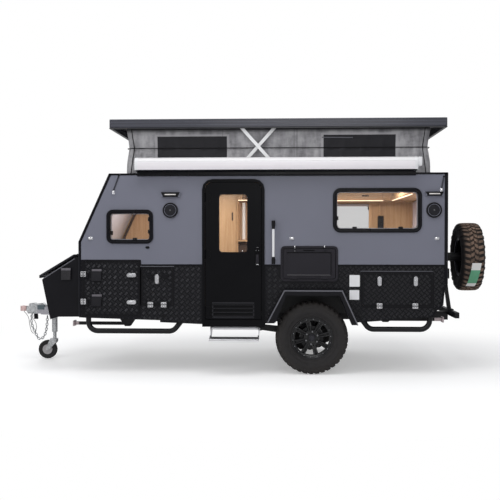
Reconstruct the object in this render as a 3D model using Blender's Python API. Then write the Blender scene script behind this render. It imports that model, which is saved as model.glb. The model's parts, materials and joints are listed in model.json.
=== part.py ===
"""A pop-top off-road caravan at full size, in metres.

+X runs to the rear, -X to the hitch, -Y is the door side, +Z is up. The ground is z = 0 and the body is
centred on Y = 0. "Left" is the door side (-Y) and "right" is the far side (+Y).
"""
import math

import bmesh
import bpy
from mathutils import Matrix, Quaternion, Vector

for old in list(bpy.data.objects):
    bpy.data.objects.remove(old, do_unlink=True)

# Driving dimensions of the body shell
HALF_WIDTH = 1.05
WALL = 0.03
SEAT = 0.0003
CLEAR = 0.006
FRONT_X = -1.777
REAR_X = 2.259
TOP_FRONT_X = -1.436
KNEE_Z = 1.455
BELT_Z = 1.203
BOOT_BELT_Z = 1.25
BOOT_BELT_END_X = -1.091
TOP_Z = 2.205
INSIDE = HALF_WIDTH - WALL - SEAT
END_WALL_Z = 0.652

# Underside and chassis
FLOOR_Z = (0.6503, 0.69)
RAIL_Y = (0.43, 0.48)
RAIL_Z = (0.553, 0.65)
OUTRIGGER_Z = (0.623, 0.648)

# Wheels
AXLE_X = 0.795
TYRE_RADIUS = 0.40
TYRE_HALF_WIDTH = 0.1325
WHEEL_FACE_Y = 1.06
RIM_RADIUS = 0.2285
SPARE_CENTRE = (2.6595, -0.2, 1.2745)

# Pop-top
ROOF_X = (-1.436, 2.256)
ROOF_HALF_WIDTH = 1.035
ROOF_Z = (2.704, 2.806)
ROOF_RAIL = 0.034
ROOF_SHEET = 0.03
CANVAS_X = (-1.273, 2.10)
CANVAS_HALF_WIDTH = 0.94

# Outlines in X and Z that the two side panels share
REAR_CUT = [(REAR_X, 1.0), (2.226, 0.935), (2.213, 0.775), (2.138, 0.705), (2.105, 0.638)]
BELT_LINE = [
    (FRONT_X, BOOT_BELT_Z),
    (BOOT_BELT_END_X, BOOT_BELT_Z),
    (BOOT_BELT_END_X, BELT_Z),
    (REAR_X, BELT_Z),
]
FLARE_OUTER = [(0.309, 0.588), (0.491, 0.934), (1.121, 0.934), (1.29, 0.56)]
FLARE_INNER = [(0.40, 0.585), (0.516, 0.877), (1.092, 0.877), (1.221, 0.56)]
ARCH_FOOT_X = (0.317, 1.307)

# name: (red, green, blue), roughness, metallic
FINISHES = {
    "wall_grey": ((0.16, 0.165, 0.20), 0.45, 0.0),
    "checker_black": ((0.018, 0.018, 0.021), 0.5, 0.3),
    "satin_black": ((0.02, 0.02, 0.022), 0.4, 0.0),
    "roof_blue": ((0.06, 0.075, 0.09), 0.4, 0.0),
    "awning_white": ((0.82, 0.82, 0.82), 0.35, 0.0),
    "canvas_grey": ((0.42, 0.43, 0.45), 0.85, 0.0),
    "lifter_white": ((0.85, 0.85, 0.85), 0.4, 0.0),
    "galvanised": ((0.55, 0.56, 0.57), 0.45, 0.9),
    "rubber": ((0.02, 0.019, 0.018), 0.8, 0.0),
    "rim_black": ((0.015, 0.015, 0.016), 0.3, 0.6),
    "glass_tint": ((0.10, 0.09, 0.08), 0.1, 0.0),
    "joinery_wood": ((0.55, 0.36, 0.20), 0.5, 0.0),
    "step_metal": ((0.70, 0.70, 0.70), 0.4, 0.6),
    "lamp_red": ((0.45, 0.02, 0.02), 0.25, 0.0),
    "tank_black": ((0.03, 0.03, 0.03), 0.6, 0.0),
    "floor_grey": ((0.25, 0.24, 0.23), 0.6, 0.0),
}


def finish(name):
    """The Principled material of one finish, made once."""
    found = bpy.data.materials.get(name)
    if found:
        return found
    colour, roughness, metallic = FINISHES[name]
    made = bpy.data.materials.new(name)
    made.use_nodes = True
    shader = made.node_tree.nodes["Principled BSDF"]
    shader.inputs["Base Color"].default_value = (*colour, 1.0)
    shader.inputs["Roughness"].default_value = roughness
    shader.inputs["Metallic"].default_value = metallic
    return made


def solid(bm):
    """Turn a bmesh into a scratch object, faces out."""
    bmesh.ops.recalc_face_normals(bm, faces=bm.faces)
    mesh = bpy.data.meshes.new("scratch")
    bm.to_mesh(mesh)
    bm.free()
    obj = bpy.data.objects.new("scratch", mesh)
    bpy.context.scene.collection.objects.link(obj)
    return obj


def box(low, high, bevel=0.0):
    """A block between two corners, with its edges cut by bevel."""
    bm = bmesh.new()
    bmesh.ops.create_cube(bm, size=1.0)
    size = [abs(b - a) for a, b in zip(low, high)]
    middle = [(a + b) / 2 for a, b in zip(low, high)]
    bmesh.ops.scale(bm, vec=size, verts=bm.verts)
    bmesh.ops.translate(bm, vec=middle, verts=bm.verts)
    if bevel:
        bmesh.ops.bevel(bm, geom=bm.edges, offset=bevel, segments=1, profile=0.5, affect="EDGES", material=-1)
    return solid(bm)


def place(axis, u, v, w):
    """A point from its two outline coordinates and its distance along the axis."""
    if axis == "X":
        return Vector((w, u, v))
    if axis == "Y":
        return Vector((u, w, v))
    return Vector((u, v, w))


def prism(outline, axis, start, end):
    """An outline drawn square to an axis and extruded from start to end along it."""
    bm = bmesh.new()
    face = bm.faces.new([bm.verts.new(place(axis, u, v, start)) for u, v in outline])
    pulled = bmesh.ops.extrude_face_region(bm, geom=[face])
    moved = [item for item in pulled["geom"] if isinstance(item, bmesh.types.BMVert)]
    bmesh.ops.translate(bm, vec=place(axis, 0, 0, end - start), verts=moved)
    return solid(bm)


def rounded(low, high, radius, steps=3):
    """The outline of a rectangle with round corners, anticlockwise from its low corner."""
    points = []
    centres = [
        (high[0] - radius, high[1] - radius, 0),
        (low[0] + radius, high[1] - radius, 90),
        (low[0] + radius, low[1] + radius, 180),
        (high[0] - radius, low[1] + radius, 270),
    ]
    for cu, cv, first in centres:
        for step in range(steps + 1):
            angle = math.radians(first + 90 * step / steps)
            points.append((cu + radius * math.cos(angle), cv + radius * math.sin(angle)))
    return points


def turned(profile, axis, centre, steps):
    """A closed profile of (radius, distance along the axis) turned round the axis through centre."""
    bm = bmesh.new()
    verts = [bm.verts.new(place(axis, radius, 0, along) + Vector(centre)) for radius, along in profile]
    edges = [bm.edges.new((verts[i], verts[(i + 1) % len(verts)])) for i in range(len(verts))]
    bmesh.ops.spin(
        bm,
        geom=verts + edges,
        cent=centre,
        axis=place(axis, 0, 0, 1),
        angle=math.tau,
        steps=steps,
        use_merge=True,
    )
    return solid(bm)


def rod(start, end, radius, sides=12):
    """A round bar between two points."""
    start, end = Vector(start), Vector(end)
    along = end - start
    bm = bmesh.new()
    bmesh.ops.create_cone(
        bm, cap_ends=True, segments=sides, radius1=radius, radius2=radius, depth=along.length
    )
    turn = along.to_track_quat("Z", "Y").to_matrix().to_4x4()
    bmesh.ops.transform(bm, matrix=Matrix.Translation((start + end) / 2) @ turn, verts=bm.verts)
    return solid(bm)


def bent_path(corners, radius, steps=3):
    """A path through corners whose bends are arcs of the given radius."""
    points = [Vector(corners[0])]
    for before, corner, after in zip(corners, corners[1:], corners[2:]):
        corner = Vector(corner)
        to_before = (Vector(before) - corner).normalized()
        to_after = (Vector(after) - corner).normalized()
        half = to_before.angle(to_after) / 2
        reach = radius / math.tan(half)
        middle = corner + (to_before + to_after).normalized() * (radius / math.sin(half))
        first = corner + to_before * reach - middle
        last = corner + to_after * reach - middle
        axis, angle = first.rotation_difference(last).to_axis_angle()
        for step in range(steps + 1):
            points.append(middle + Quaternion(axis, angle * step / steps) @ first)
    points.append(Vector(corners[-1]))
    return points


def tube(points, radius, resolution=2):
    """A round tube along a path, with closed ends."""
    curve = bpy.data.curves.new("scratch", "CURVE")
    curve.dimensions = "3D"
    curve.bevel_depth = radius
    curve.bevel_resolution = resolution
    curve.use_fill_caps = True
    line = curve.splines.new("POLY")
    line.points.add(len(points) - 1)
    for spot, point in zip(line.points, points):
        spot.co = (*point, 1.0)
    obj = bpy.data.objects.new("scratch", curve)
    bpy.context.scene.collection.objects.link(obj)
    bpy.context.view_layer.update()
    mesh = bpy.data.meshes.new_from_object(obj.evaluated_get(bpy.context.evaluated_depsgraph_get()))
    bm = bmesh.new()
    bm.from_mesh(mesh)
    bmesh.ops.remove_doubles(bm, verts=bm.verts, dist=0.00001)
    bpy.data.objects.remove(obj, do_unlink=True)
    return solid(bm)


def boolean(base, others, operation):
    """Join or cut base with the others, which are used up."""
    for other in others:
        step = base.modifiers.new(operation, "BOOLEAN")
        step.operation = operation
        step.solver = "EXACT"
        step.object = other
    bpy.context.view_layer.update()
    mesh = bpy.data.meshes.new_from_object(base.evaluated_get(bpy.context.evaluated_depsgraph_get()))
    base.modifiers.clear()
    base.data = mesh
    for other in others:
        bpy.data.objects.remove(other, do_unlink=True)
    return base


def piece(name, look, shapes, cuts=(), smooth=False, pivot=None):
    """One named sub-part: its shapes joined, its cuts taken out, its origin on its joint's axis."""
    base = shapes[0]
    if len(shapes) > 1:
        boolean(base, shapes[1:], "UNION")
    if cuts:
        boolean(base, list(cuts), "DIFFERENCE")
    if pivot:
        base.data.transform(Matrix.Translation(-Vector(pivot)))
        base.location = pivot
    base.name = name
    base.data.name = name
    base.data.materials.clear()
    base.data.materials.append(finish(look))
    if smooth:
        base.data.shade_smooth()
        base.data.set_sharp_from_angle(angle=math.radians(35))
    return base


def mirrored_box(side, x_range, y_range, z_range):
    """A block given by its distances from the centreline, on the side -1 (left) or +1 (right)."""
    ys = sorted((side * y_range[0], side * y_range[1]))
    return box((x_range[0], ys[0], z_range[0]), (x_range[1], ys[1], z_range[1]))


# The two sides, as (name, sign of Y)
SIDES = (("left", -1), ("right", 1))


# Chassis: two rails, cross members, drawbar, outriggers and the tube bars below the skirts
RAIL_X = (-1.70, 2.38)
CROSS_MEMBERS_X = (-1.62, -0.78, 0.16, 1.42, 2.08)
DRAWBAR_START = (-1.30, 0.455)
DRAWBAR_END = (-2.50, 0.055)
DRAWBAR_WIDTH = 0.05
REAR_BAR_X = (2.364, 2.41)
REAR_BAR_Z = (0.617, 0.679)
REAR_BAR_HALF = 0.95
SIDE_BAR_Y = 1.0
SIDE_BAR_RADIUS = 0.02
# name: X and Z of the bar's four corners, front to rear
SIDE_BARS = {
    "front": [(-1.70, 0.636), (-1.60, 0.468), (-0.74, 0.468), (-0.625, 0.636)],
    "rear": [(1.335, 0.636), (1.44, 0.512), (1.985, 0.512), (2.07, 0.636)],
}
# X of the outriggers that carry the side bars
OUTRIGGERS_X = (-1.70, -0.63, 1.34, 2.06)
# name: pivot X, pivot Z, foot X, direction of X towards the foot
CORNER_LEGS = {
    "front": (-1.28, 0.53, -1.90, -1),
    "rear": (1.62, 0.59, 2.262, 1),
}
LEG_Y = 0.80
# X of the two rails that the entry step slides on, and the top of its arms just below them
STEP_RAILS_X = (-0.318, 0.209)
STEP_TOP_Z = 0.5265
HANGER_X = 0.22


def drawbar_leg(side):
    """One leg of the A-frame, a straight rail that runs in to the coupling."""
    start = Vector((DRAWBAR_START[0], side * DRAWBAR_START[1]))
    end = Vector((DRAWBAR_END[0], side * DRAWBAR_END[1]))
    across = (end - start).orthogonal().normalized() * DRAWBAR_WIDTH / 2
    outline = [start + across, start - across, end - across, end + across]
    return prism([tuple(point) for point in outline], "Z", RAIL_Z[0], RAIL_Z[1] - 0.002)


def leg_bracket(side, pivot_x, pivot_z):
    """Two cheeks that hang from an outrigger with the corner leg between them."""
    made = []
    for near, far in ((LEG_Y - 0.03, LEG_Y - 0.02), (LEG_Y + 0.02, LEG_Y + 0.03)):
        outline = [
            (pivot_x - 0.13, OUTRIGGER_Z[1] - 0.004),
            (pivot_x - 0.03, pivot_z - 0.03),
            (pivot_x + 0.03, pivot_z - 0.03),
            (pivot_x + 0.13, OUTRIGGER_Z[1] - 0.004),
        ]
        made.append(prism(outline, "Y", side * near, side * far))
    beam = (RAIL_Y[0] + 0.01, LEG_Y + 0.035)
    made.append(mirrored_box(side, (pivot_x - 0.02, pivot_x + 0.02), beam, OUTRIGGER_Z))
    return made


def chassis_frame():
    shapes = []
    for _, side in SIDES:
        shapes.append(mirrored_box(side, RAIL_X, RAIL_Y, RAIL_Z))
        shapes.append(drawbar_leg(side))
        reach = (RAIL_Y[0] + 0.01, SIDE_BAR_Y + 0.005)
        for x in OUTRIGGERS_X:
            shapes.append(mirrored_box(side, (x - 0.024, x + 0.024), reach, OUTRIGGER_Z))
        for corners in SIDE_BARS.values():
            path = bent_path([(x, side * SIDE_BAR_Y, z) for x, z in corners], 0.06)
            shapes.append(tube(path, SIDE_BAR_RADIUS))
        for pivot_x, pivot_z, _, _ in CORNER_LEGS.values():
            shapes.extend(leg_bracket(side, pivot_x, pivot_z))
        hanger = (HANGER_X - 0.05, HANGER_X + 0.05)
        shapes.append(mirrored_box(side, hanger, (RAIL_Y[0] + 0.005, RAIL_Y[1] + 0.005), (0.43, 0.56)))
        tower = (AXLE_X - 0.26, AXLE_X + 0.22)
        shapes.append(mirrored_box(side, tower, (RAIL_Y[0] + 0.01, 0.68), OUTRIGGER_Z))
    for x in STEP_RAILS_X:
        shapes.append(box((x - 0.014, -0.99, STEP_TOP_Z + 0.0035), (x + 0.014, -RAIL_Y[0] - 0.01, 0.60)))
    for x in CROSS_MEMBERS_X:
        shapes.append(box((x - 0.025, -RAIL_Y[0] - 0.01, 0.565), (x + 0.025, RAIL_Y[0] + 0.01, 0.64)))
    bar_low = (REAR_BAR_X[0], -REAR_BAR_HALF, REAR_BAR_Z[0])
    bar_high = (REAR_BAR_X[1], REAR_BAR_HALF, REAR_BAR_Z[1])
    shapes.append(box(bar_low, bar_high))
    nose = [(-2.56, -0.06), (-2.42, -0.11), (-2.42, 0.11), (-2.56, 0.06)]
    shapes.append(prism(nose, "Z", RAIL_Z[0] + 0.01, RAIL_Z[1] - 0.01))
    piece("chassis_frame", "satin_black", shapes)


def coupling():
    """A trailing shank on the drawbar with an articulated off-road head."""
    top = RAIL_Z[1] + SEAT
    plate = box((-2.62, -0.05, top), (-2.44, 0.05, top + 0.012))
    body_outline = [(-2.70, 0.60), (-2.68, 0.56), (-2.5645, 0.56), (-2.5645, 0.655), (-2.60, 0.69), (-2.66, 0.685)]
    body = prism(body_outline, "Y", -0.045, 0.045)
    saddle = prism([(-2.62, 0.652), (-2.62, 0.675), (-2.50, 0.69), (-2.45, 0.668), (-2.45, 0.652)], "Y", -0.04, 0.04)
    head = turned([(0.02, -0.03), (0.045, -0.03), (0.045, 0.03), (0.02, 0.03)], "Z", (-2.741, 0, 0.622), 16)
    neck = rod((-2.71, 0, 0.622), (-2.66, 0, 0.622), 0.022)
    piece("coupling", "galvanised", [body, plate, saddle, neck, head])


JOCKEY_X = -2.357
JOCKEY_WHEEL = (-2.442, 0.0, 0.115)


def jockey_wheel_set():
    """Outer tube clamped to the drawbar, inner tube with a fork, and the wheel."""
    post = rod((JOCKEY_X, 0, 0.332), (JOCKEY_X, 0, 0.94), 0.034, 16)
    cap = rod((JOCKEY_X, 0, 0.925), (JOCKEY_X, 0, 0.975), 0.02, 8)
    crank = tube(bent_path([(JOCKEY_X, 0, 0.96), (JOCKEY_X, 0.12, 0.985), (JOCKEY_X, 0.125, 1.05)], 0.02), 0.008, 1)
    clamp = box((JOCKEY_X - 0.045, -0.045, 0.70), (JOCKEY_X + 0.045, 0.045, 0.76))
    foot = box((JOCKEY_X - 0.06, -0.125, RAIL_Z[1] + SEAT), (JOCKEY_X + 0.06, 0.125, RAIL_Z[1] + 0.012))
    bore = rod((JOCKEY_X, 0, 0.30), (JOCKEY_X, 0, 0.905), 0.0265, 16)
    piece("jockey_post", "galvanised", [post, cap, crank, clamp, foot], [bore], smooth=True)

    inner = rod((JOCKEY_X, 0, 0.222), (JOCKEY_X, 0, 0.89), 0.0215)
    bridge = box((JOCKEY_X - 0.05, -0.042, 0.238), (JOCKEY_X + 0.03, 0.042, 0.25))
    fork = [
        (JOCKEY_X + 0.03, 0.25),
        (JOCKEY_X - 0.05, 0.25),
        (JOCKEY_WHEEL[0] - 0.018, 0.12),
        (JOCKEY_WHEEL[0] - 0.005, 0.098),
        (JOCKEY_WHEEL[0] + 0.018, 0.105),
        (JOCKEY_X + 0.03, 0.21),
    ]
    cheeks = [prism(fork, "Y", side * 0.036, side * 0.042) for _, side in SIDES]
    axle = rod((JOCKEY_WHEEL[0], -0.045, JOCKEY_WHEEL[2]), (JOCKEY_WHEEL[0], 0.045, JOCKEY_WHEEL[2]), 0.008, 8)
    piece("jockey_leg", "galvanised", [inner, bridge, *cheeks, axle], pivot=(JOCKEY_X, 0, 0.24))

    tread = [(0.0095, -0.028), (0.0095, 0.028), (0.03, 0.028), (0.07, 0.022), (0.105, 0.03), (0.115, 0.018),
             (0.115, -0.018), (0.105, -0.03), (0.07, -0.022), (0.03, -0.028)]
    wheel = turned(tread, "Y", JOCKEY_WHEEL, 20)
    piece("jockey_wheel", "rubber", [wheel], smooth=True, pivot=JOCKEY_WHEEL)


# Wheels: a tyre with shoulder lugs and a spoked rim, for both sides and the spare
TYRE_STEPS = 64
LUG_HEIGHT = 0.013
# radius, distance from the middle of the tread, from one bead to the other
TYRE_PROFILE = [
    (0.2290, 0.100),
    (0.310, TYRE_HALF_WIDTH),
    (0.356, 0.128),
    (0.386, 0.108),
    (TYRE_RADIUS - LUG_HEIGHT, 0.045),
]
RIM_STEPS = 24
SPOKE_WINDOWS = 8


def tyre_mesh():
    """The carcass turned round Y, then every second facet of each shoulder raised as a lug."""
    profile = TYRE_PROFILE + [(radius, -across) for radius, across in reversed(TYRE_PROFILE)]
    obj = turned(profile, "Y", (0, 0, 0), TYRE_STEPS)
    bm = bmesh.new()
    bm.from_mesh(obj.data)
    bpy.data.objects.remove(obj, do_unlink=True)
    lugs = []
    for face in bm.faces:
        middle = face.calc_center_median()
        radius = math.hypot(middle.x, middle.z)
        if radius < 0.38 or not 0.05 < abs(middle.y) < 0.11:
            continue
        step = int(math.degrees(math.atan2(middle.z, middle.x)) % 360 / 360 * TYRE_STEPS)
        if step % 2 == (0 if middle.y > 0 else 1):
            lugs.append(face)
    raised = bmesh.ops.extrude_discrete_faces(bm, faces=lugs)
    for face in raised["faces"]:
        for vert in face.verts:
            out = Vector((vert.co.x, 0, vert.co.z)).normalized()
            vert.co += out * (TYRE_RADIUS - math.hypot(vert.co.x, vert.co.z)) * 0.98
            vert.co.y *= 1.04
    return bm


def rim_shapes():
    """The barrel with its two flanges, and the spoked disc near the outer (-Y) side."""
    barrel = [
        (0.2045, -0.100), (RIM_RADIUS, -0.100), (RIM_RADIUS, -0.090), (0.2165, -0.084),
        (0.2165, 0.084), (RIM_RADIUS, 0.090), (RIM_RADIUS, 0.100), (0.2045, 0.100),
    ]
    shapes = [turned(barrel, "Y", (0, 0, 0), RIM_STEPS)]
    shapes.append(rod((0, -0.080, 0), (0, -0.052, 0), 0.210, RIM_STEPS))
    shapes.append(rod((0, -0.098, 0), (0, -0.040, 0), 0.055, 16))
    cuts = []
    for number in range(SPOKE_WINDOWS):
        angle = math.tau * (number + 0.5) / SPOKE_WINDOWS
        outline = []
        for radius, half in ((0.088, 0.17), (0.192, 0.24)):
            pair = [(radius, angle - half), (radius, angle + half)]
            outline.extend(pair if radius < 0.1 else reversed(pair))
        points = [(radius * math.cos(turn), radius * math.sin(turn)) for radius, turn in outline]
        cuts.append(prism(points, "Y", -0.12, -0.02))
    return shapes, cuts


def wheel(name, centre, turn):
    """A tyre and its rim at a hub, turned so that the disc faces out."""
    matrix = Matrix.Translation(centre) @ Matrix.Rotation(math.radians(turn), 4, "Z")
    tyre = solid(tyre_mesh())
    tyre.data.transform(matrix)
    piece(f"{name}_tyre" if name == "spare" else f"tyre_{name}", "rubber", [tyre], smooth=True, pivot=centre)
    shapes, cuts = rim_shapes()
    for shape in shapes + cuts:
        shape.data.transform(matrix)
    piece(f"{name}_rim" if name == "spare" else f"rim_{name}", "rim_black", shapes, cuts, True, centre)


def suspension(name, side):
    """A trailing arm on its pivot, stub axle and brake drum, with a coil and a damper above."""
    def at(x, y, z):
        return (x, side * y, z)

    pivot = rod(at(HANGER_X, RAIL_Y[1] + 0.005 + SEAT, 0.475), at(HANGER_X, 0.63, 0.475), 0.042)
    outline = [(HANGER_X, 0.50), (HANGER_X, 0.44), (AXLE_X + 0.03, 0.355), (AXLE_X + 0.07, 0.40),
               (AXLE_X + 0.03, 0.445), (AXLE_X - 0.12, 0.455)]
    arm = prism(outline, "Y", side * 0.53, side * 0.61)
    stub = rod(at(AXLE_X, 0.55, 0.40), at(AXLE_X, 0.90, 0.40), 0.034)
    drum = rod(at(AXLE_X, 0.80, 0.40), at(AXLE_X, 0.955, 0.40), 0.13, 16)
    coil_x, coil_y = AXLE_X - 0.16, 0.57
    ridges = []
    for number in range(5):
        low = 0.445 + number * 0.034
        ridges.extend([(0.042, low), (0.058, low + 0.017)])
    profile = [(0.012, 0.438), *ridges, (0.042, OUTRIGGER_Z[0] - SEAT), (0.012, OUTRIGGER_Z[0] - SEAT)]
    coil = turned(profile, "Z", at(coil_x, coil_y, 0), 10)
    core = rod(at(coil_x, coil_y, 0.42), at(coil_x, coil_y, 0.60), 0.025, 8)
    damper = rod(at(AXLE_X + 0.02, 0.58, 0.43), at(AXLE_X + 0.15, 0.60, 0.60), 0.026, 8)
    top_rod = rod(at(AXLE_X + 0.10, 0.593, 0.545), at(AXLE_X + 0.157, 0.601, 0.612), 0.010, 8)
    shapes = [arm, pivot, stub, drum, core, coil, damper, top_rod]
    piece(f"suspension_{name}", "satin_black", shapes, smooth=True)


def spare_carrier():
    """Two posts on the rear bar, a cross tube and the hub that the spare bolts to."""
    x, y, z = SPARE_CENTRE
    base = REAR_BAR_Z[1] + SEAT
    shapes = [box((2.37, y - 0.42, z - 0.03), (2.405, y + 0.42, z + 0.03))]
    for offset in (-0.40, 0.40):
        shapes.append(box((2.366, y + offset - 0.02, base), (2.402, y + offset + 0.02, z + 0.03)))
        shapes.append(box((2.36, y + offset - 0.05, base), (2.412, y + offset + 0.05, base + 0.012)))
    shapes.append(rod((2.39, y, z), (x + 0.03 - SEAT, y, z), 0.05, 16))
    shapes.append(rod((x - 0.01, y, z), (x + 0.02, y, z), 0.085, 20))
    piece("spare_carrier", "satin_black", shapes)


# Openings in the side panels, as X and Z of their low and high corners, and the corner radius
DOOR = ((-0.408, 0.524), (0.277, 2.142), 0.11)
DOOR_SILL_Z = 0.585
# name: low corner, high corner, corner radius, side
WINDOWS = {
    "window_front_left": ((-1.466, 1.436), (-0.949, 1.81), 0.07, -1),
    "window_rear_left": ((1.02, 1.557), (1.981, 2.042), 0.085, -1),
    "window_rear_right": ((0.71, 1.48), (1.675, 1.97), 0.085, 1),
}
TABLE = ((0.452, 1.025), (1.077, 1.411), 0.045)
# name: low corner, high corner, side, hinged edge
HATCHES = {
    "boot_door_left": ((-1.719, 0.644), (-1.108, 1.233), -1, "front"),
    "boot_door_right": ((-1.719, 0.644), (-1.108, 1.233), 1, "front"),
    "small_hatch": ((-1.069, 0.769), (-0.739, 1.155), -1, "bottom"),
    "rear_hatch": ((1.348, 0.761), (2.09, 1.109), -1, "bottom"),
}
RIM_LIP = 0.014
HATCH_RADIUS = 0.018
PROUD = 0.012
HINGE_OUT = 0.018


def inset(low, high, by):
    """The corners of a rectangle made smaller by an even border."""
    return (low[0] + by, low[1] + by), (high[0] - by, high[1] - by)


def door_outline(border, sill):
    """The doorway's outline at a border inside the frame, with large round corners at the top only."""
    low, high = inset(DOOR[0], DOOR[1], border)
    top = [point for point in rounded(low, high, DOOR[2] - border) if point[1] > (low[1] + high[1]) / 2]
    return top + [(low[0], sill), (high[0], sill)]


def side_cuts(side):
    """Cutters for every opening on one side, longer than the wall is thick."""
    reach = (side * (HALF_WIDTH - 0.1), side * (HALF_WIDTH + 0.1))
    outlines = []
    for low, high, radius, its_side in WINDOWS.values():
        if its_side == side:
            outlines.append(rounded(*inset(low, high, RIM_LIP), radius - RIM_LIP))
    for low, high, its_side, _ in HATCHES.values():
        if its_side == side:
            outlines.append(rounded(*inset(low, high, -CLEAR), HATCH_RADIUS + CLEAR))
    if side < 0:
        outlines.append(door_outline(RIM_LIP, DOOR_SILL_Z))
        outlines.append(rounded(*inset(TABLE[0], TABLE[1], RIM_LIP), TABLE[2] - RIM_LIP))
    outlines.append([(ARCH_FOOT_X[0], 0.40), *FLARE_INNER[1:3], (ARCH_FOOT_X[1], 0.40)])
    return [prism(outline, "Y", *reach) for outline in outlines]


def side_walls(name, side):
    """The painted upper panel and the black skirt below it, with the openings cut through both."""
    faces = (side * (HALF_WIDTH - WALL), side * HALF_WIDTH)
    lifted = [(x, z + SEAT) for x, z in BELT_LINE]
    upper = [(TOP_FRONT_X, TOP_Z), (FRONT_X, KNEE_Z), *lifted, (REAR_X, TOP_Z)]
    wall = prism(upper, "Y", *faces)
    discs = []
    if side < 0:
        for x, z in SPEAKERS:
            discs.append(rod((x, side * (HALF_WIDTH - 0.01), z), (x, side * (HALF_WIDTH + 0.02), z), 0.08, 16))
        for (x0, z0), (x1, z1) in SCENE_LAMPS:
            ys = sorted((side * (HALF_WIDTH - 0.01), side * (HALF_WIDTH + 0.03)))
            discs.append(box((x0, ys[0], z0), (x1, ys[1], z1)))
    piece(f"wall_{name}", "wall_grey", [wall, *discs], side_cuts(side))

    bottom = [(2.105, 0.638), (1.29, 0.577), (-0.433, 0.552), (-0.874, 0.57), (-0.874, 0.592),
              (-1.70, 0.615), (FRONT_X, 0.62)]
    lower = [*BELT_LINE, *REAR_CUT[:-1], *bottom]
    skirt = prism(lower, "Y", *faces)
    piece(f"skirt_{name}", "checker_black", [skirt], side_cuts(side))


# X and Z of the round speakers, and the corners of the two awning lamps
SPEAKERS = ((-0.758, 1.802), (2.111, 1.801))
SCENE_LAMPS = (((-0.855, 1.951), (-0.654, 1.996)), ((2.016, 1.957), (2.208, 1.996)))


def end_walls():
    """Front panel with its raked upper half, and rear panel with the departure cut."""
    front = [
        (FRONT_X, END_WALL_Z), (FRONT_X, KNEE_Z), (TOP_FRONT_X, TOP_Z),
        (TOP_FRONT_X + 0.033, TOP_Z), (FRONT_X + WALL, KNEE_Z - 0.007), (FRONT_X + WALL, END_WALL_Z),
    ]
    piece("wall_front", "wall_grey", [prism(front, "Y", -INSIDE, INSIDE)])
    outer = [(REAR_X, TOP_Z), *REAR_CUT[:-1], (2.112, END_WALL_Z)]
    inner = [(2.08, END_WALL_Z), (2.115, 0.724), (2.184, 0.788), (2.197, 0.944), (REAR_X - WALL, 1.007),
             (REAR_X - WALL, TOP_Z)]
    piece("wall_rear", "wall_grey", [prism(outer + inner, "Y", -INSIDE, INSIDE)])
    ring = box((-1.40, -INSIDE, 2.175), (REAR_X - WALL - SEAT, INSIDE, TOP_Z - SEAT))
    lugs = []
    for _, side in SIDES:
        for along, plane in ((1, LIFTER_PLANES[0]), (-1, LIFTER_PLANES[1])):
            x = LIFTER_CROSS[0] + along * LIFTER_FOOT
            cheek = (plane[0] - 0.018, plane[0] - 0.013)
            lugs.append(mirrored_box(side, (x - 0.02, x + 0.02), cheek, (2.19, LIFTER_FOOT_Z + 0.008)))
    hole = box((-1.22, -0.90, 2.1), (2.05, 0.90, 2.3))
    piece("top_deck", "satin_black", [ring, *lugs], [hole])


def cabin_floor():
    """The floor plate, raised over each wheel as a box that is open towards the wheel."""
    shapes = [box((FRONT_X + WALL + SEAT, -INSIDE, FLOOR_Z[0]), (2.05, INSIDE, FLOOR_Z[1]))]
    cuts = []
    for _, side in SIDES:
        shapes.append(mirrored_box(side, (0.28, 1.32), (0.71, INSIDE), (FLOOR_Z[0] + 0.001, 0.935)))
        cuts.append(mirrored_box(side, (0.31, 1.29), (0.74, 1.2), (0.4, 0.905)))
    piece("cabin_floor", "floor_grey", shapes, cuts)


def wheel_flare(name, side):
    """The trapezoid arch that stands out of the skirt round the wheel."""
    outline = [*FLARE_OUTER, *reversed(FLARE_INNER)]
    arch = prism(outline, "Y", side * (HALF_WIDTH + SEAT), side * (HALF_WIDTH + 0.11))
    piece(f"wheel_flare_{name}", "satin_black", [arch])


def front_box():
    """The storage box on the drawbar: sloped, open under its lid."""
    side_outline = [(-2.206, 1.035), (-2.114, 0.591), (-2.02, 0.62), (FRONT_X - SEAT, 0.622),
                    (FRONT_X - SEAT, 1.285), (-1.835, 1.285)]
    block = prism(side_outline, "Y", -1.0, 1.0)
    hollow = [(-2.178, 1.02), (-2.20, 1.10), (-1.85, 1.40), (FRONT_X - 0.02, 1.40), (FRONT_X - 0.02, 0.675),
              (-2.108, 0.675)]
    below = [(-2.3, 0.50), (-2.3, 0.6545), (-1.7, 0.6545), (-1.7, 0.50)]
    cuts = [prism(hollow, "Y", -0.98, 0.98), prism(below, "Y", -0.98, 0.98)]
    vents = []
    hood = [(-1.978, 1.033), (-1.88, 1.033), (-1.88, 1.164), (-1.978, 1.164)]
    for _, side in SIDES:
        vents.append(prism(hood, "Y", side * 0.99, side * 1.022))
    piece("front_box", "satin_black", [block, *vents], cuts)

    lid_hinge = (-1.832, 0.0, 1.312)
    lid = [(-2.234, 1.082), (-2.232, 1.052), (-2.216, 1.052), (-2.213, 1.066), (-1.84, 1.2925), (-1.822, 1.2925),
           (-1.822, 1.3155), (-1.845, 1.3155)]
    top = prism(lid, "Y", -1.01, 1.01)
    barrel = rod((lid_hinge[0], -0.9, lid_hinge[2]), (lid_hinge[0], 0.9, lid_hinge[2]), 0.008, 8)
    piece("front_box_lid", "satin_black", [top, barrel], pivot=lid_hinge)


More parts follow.
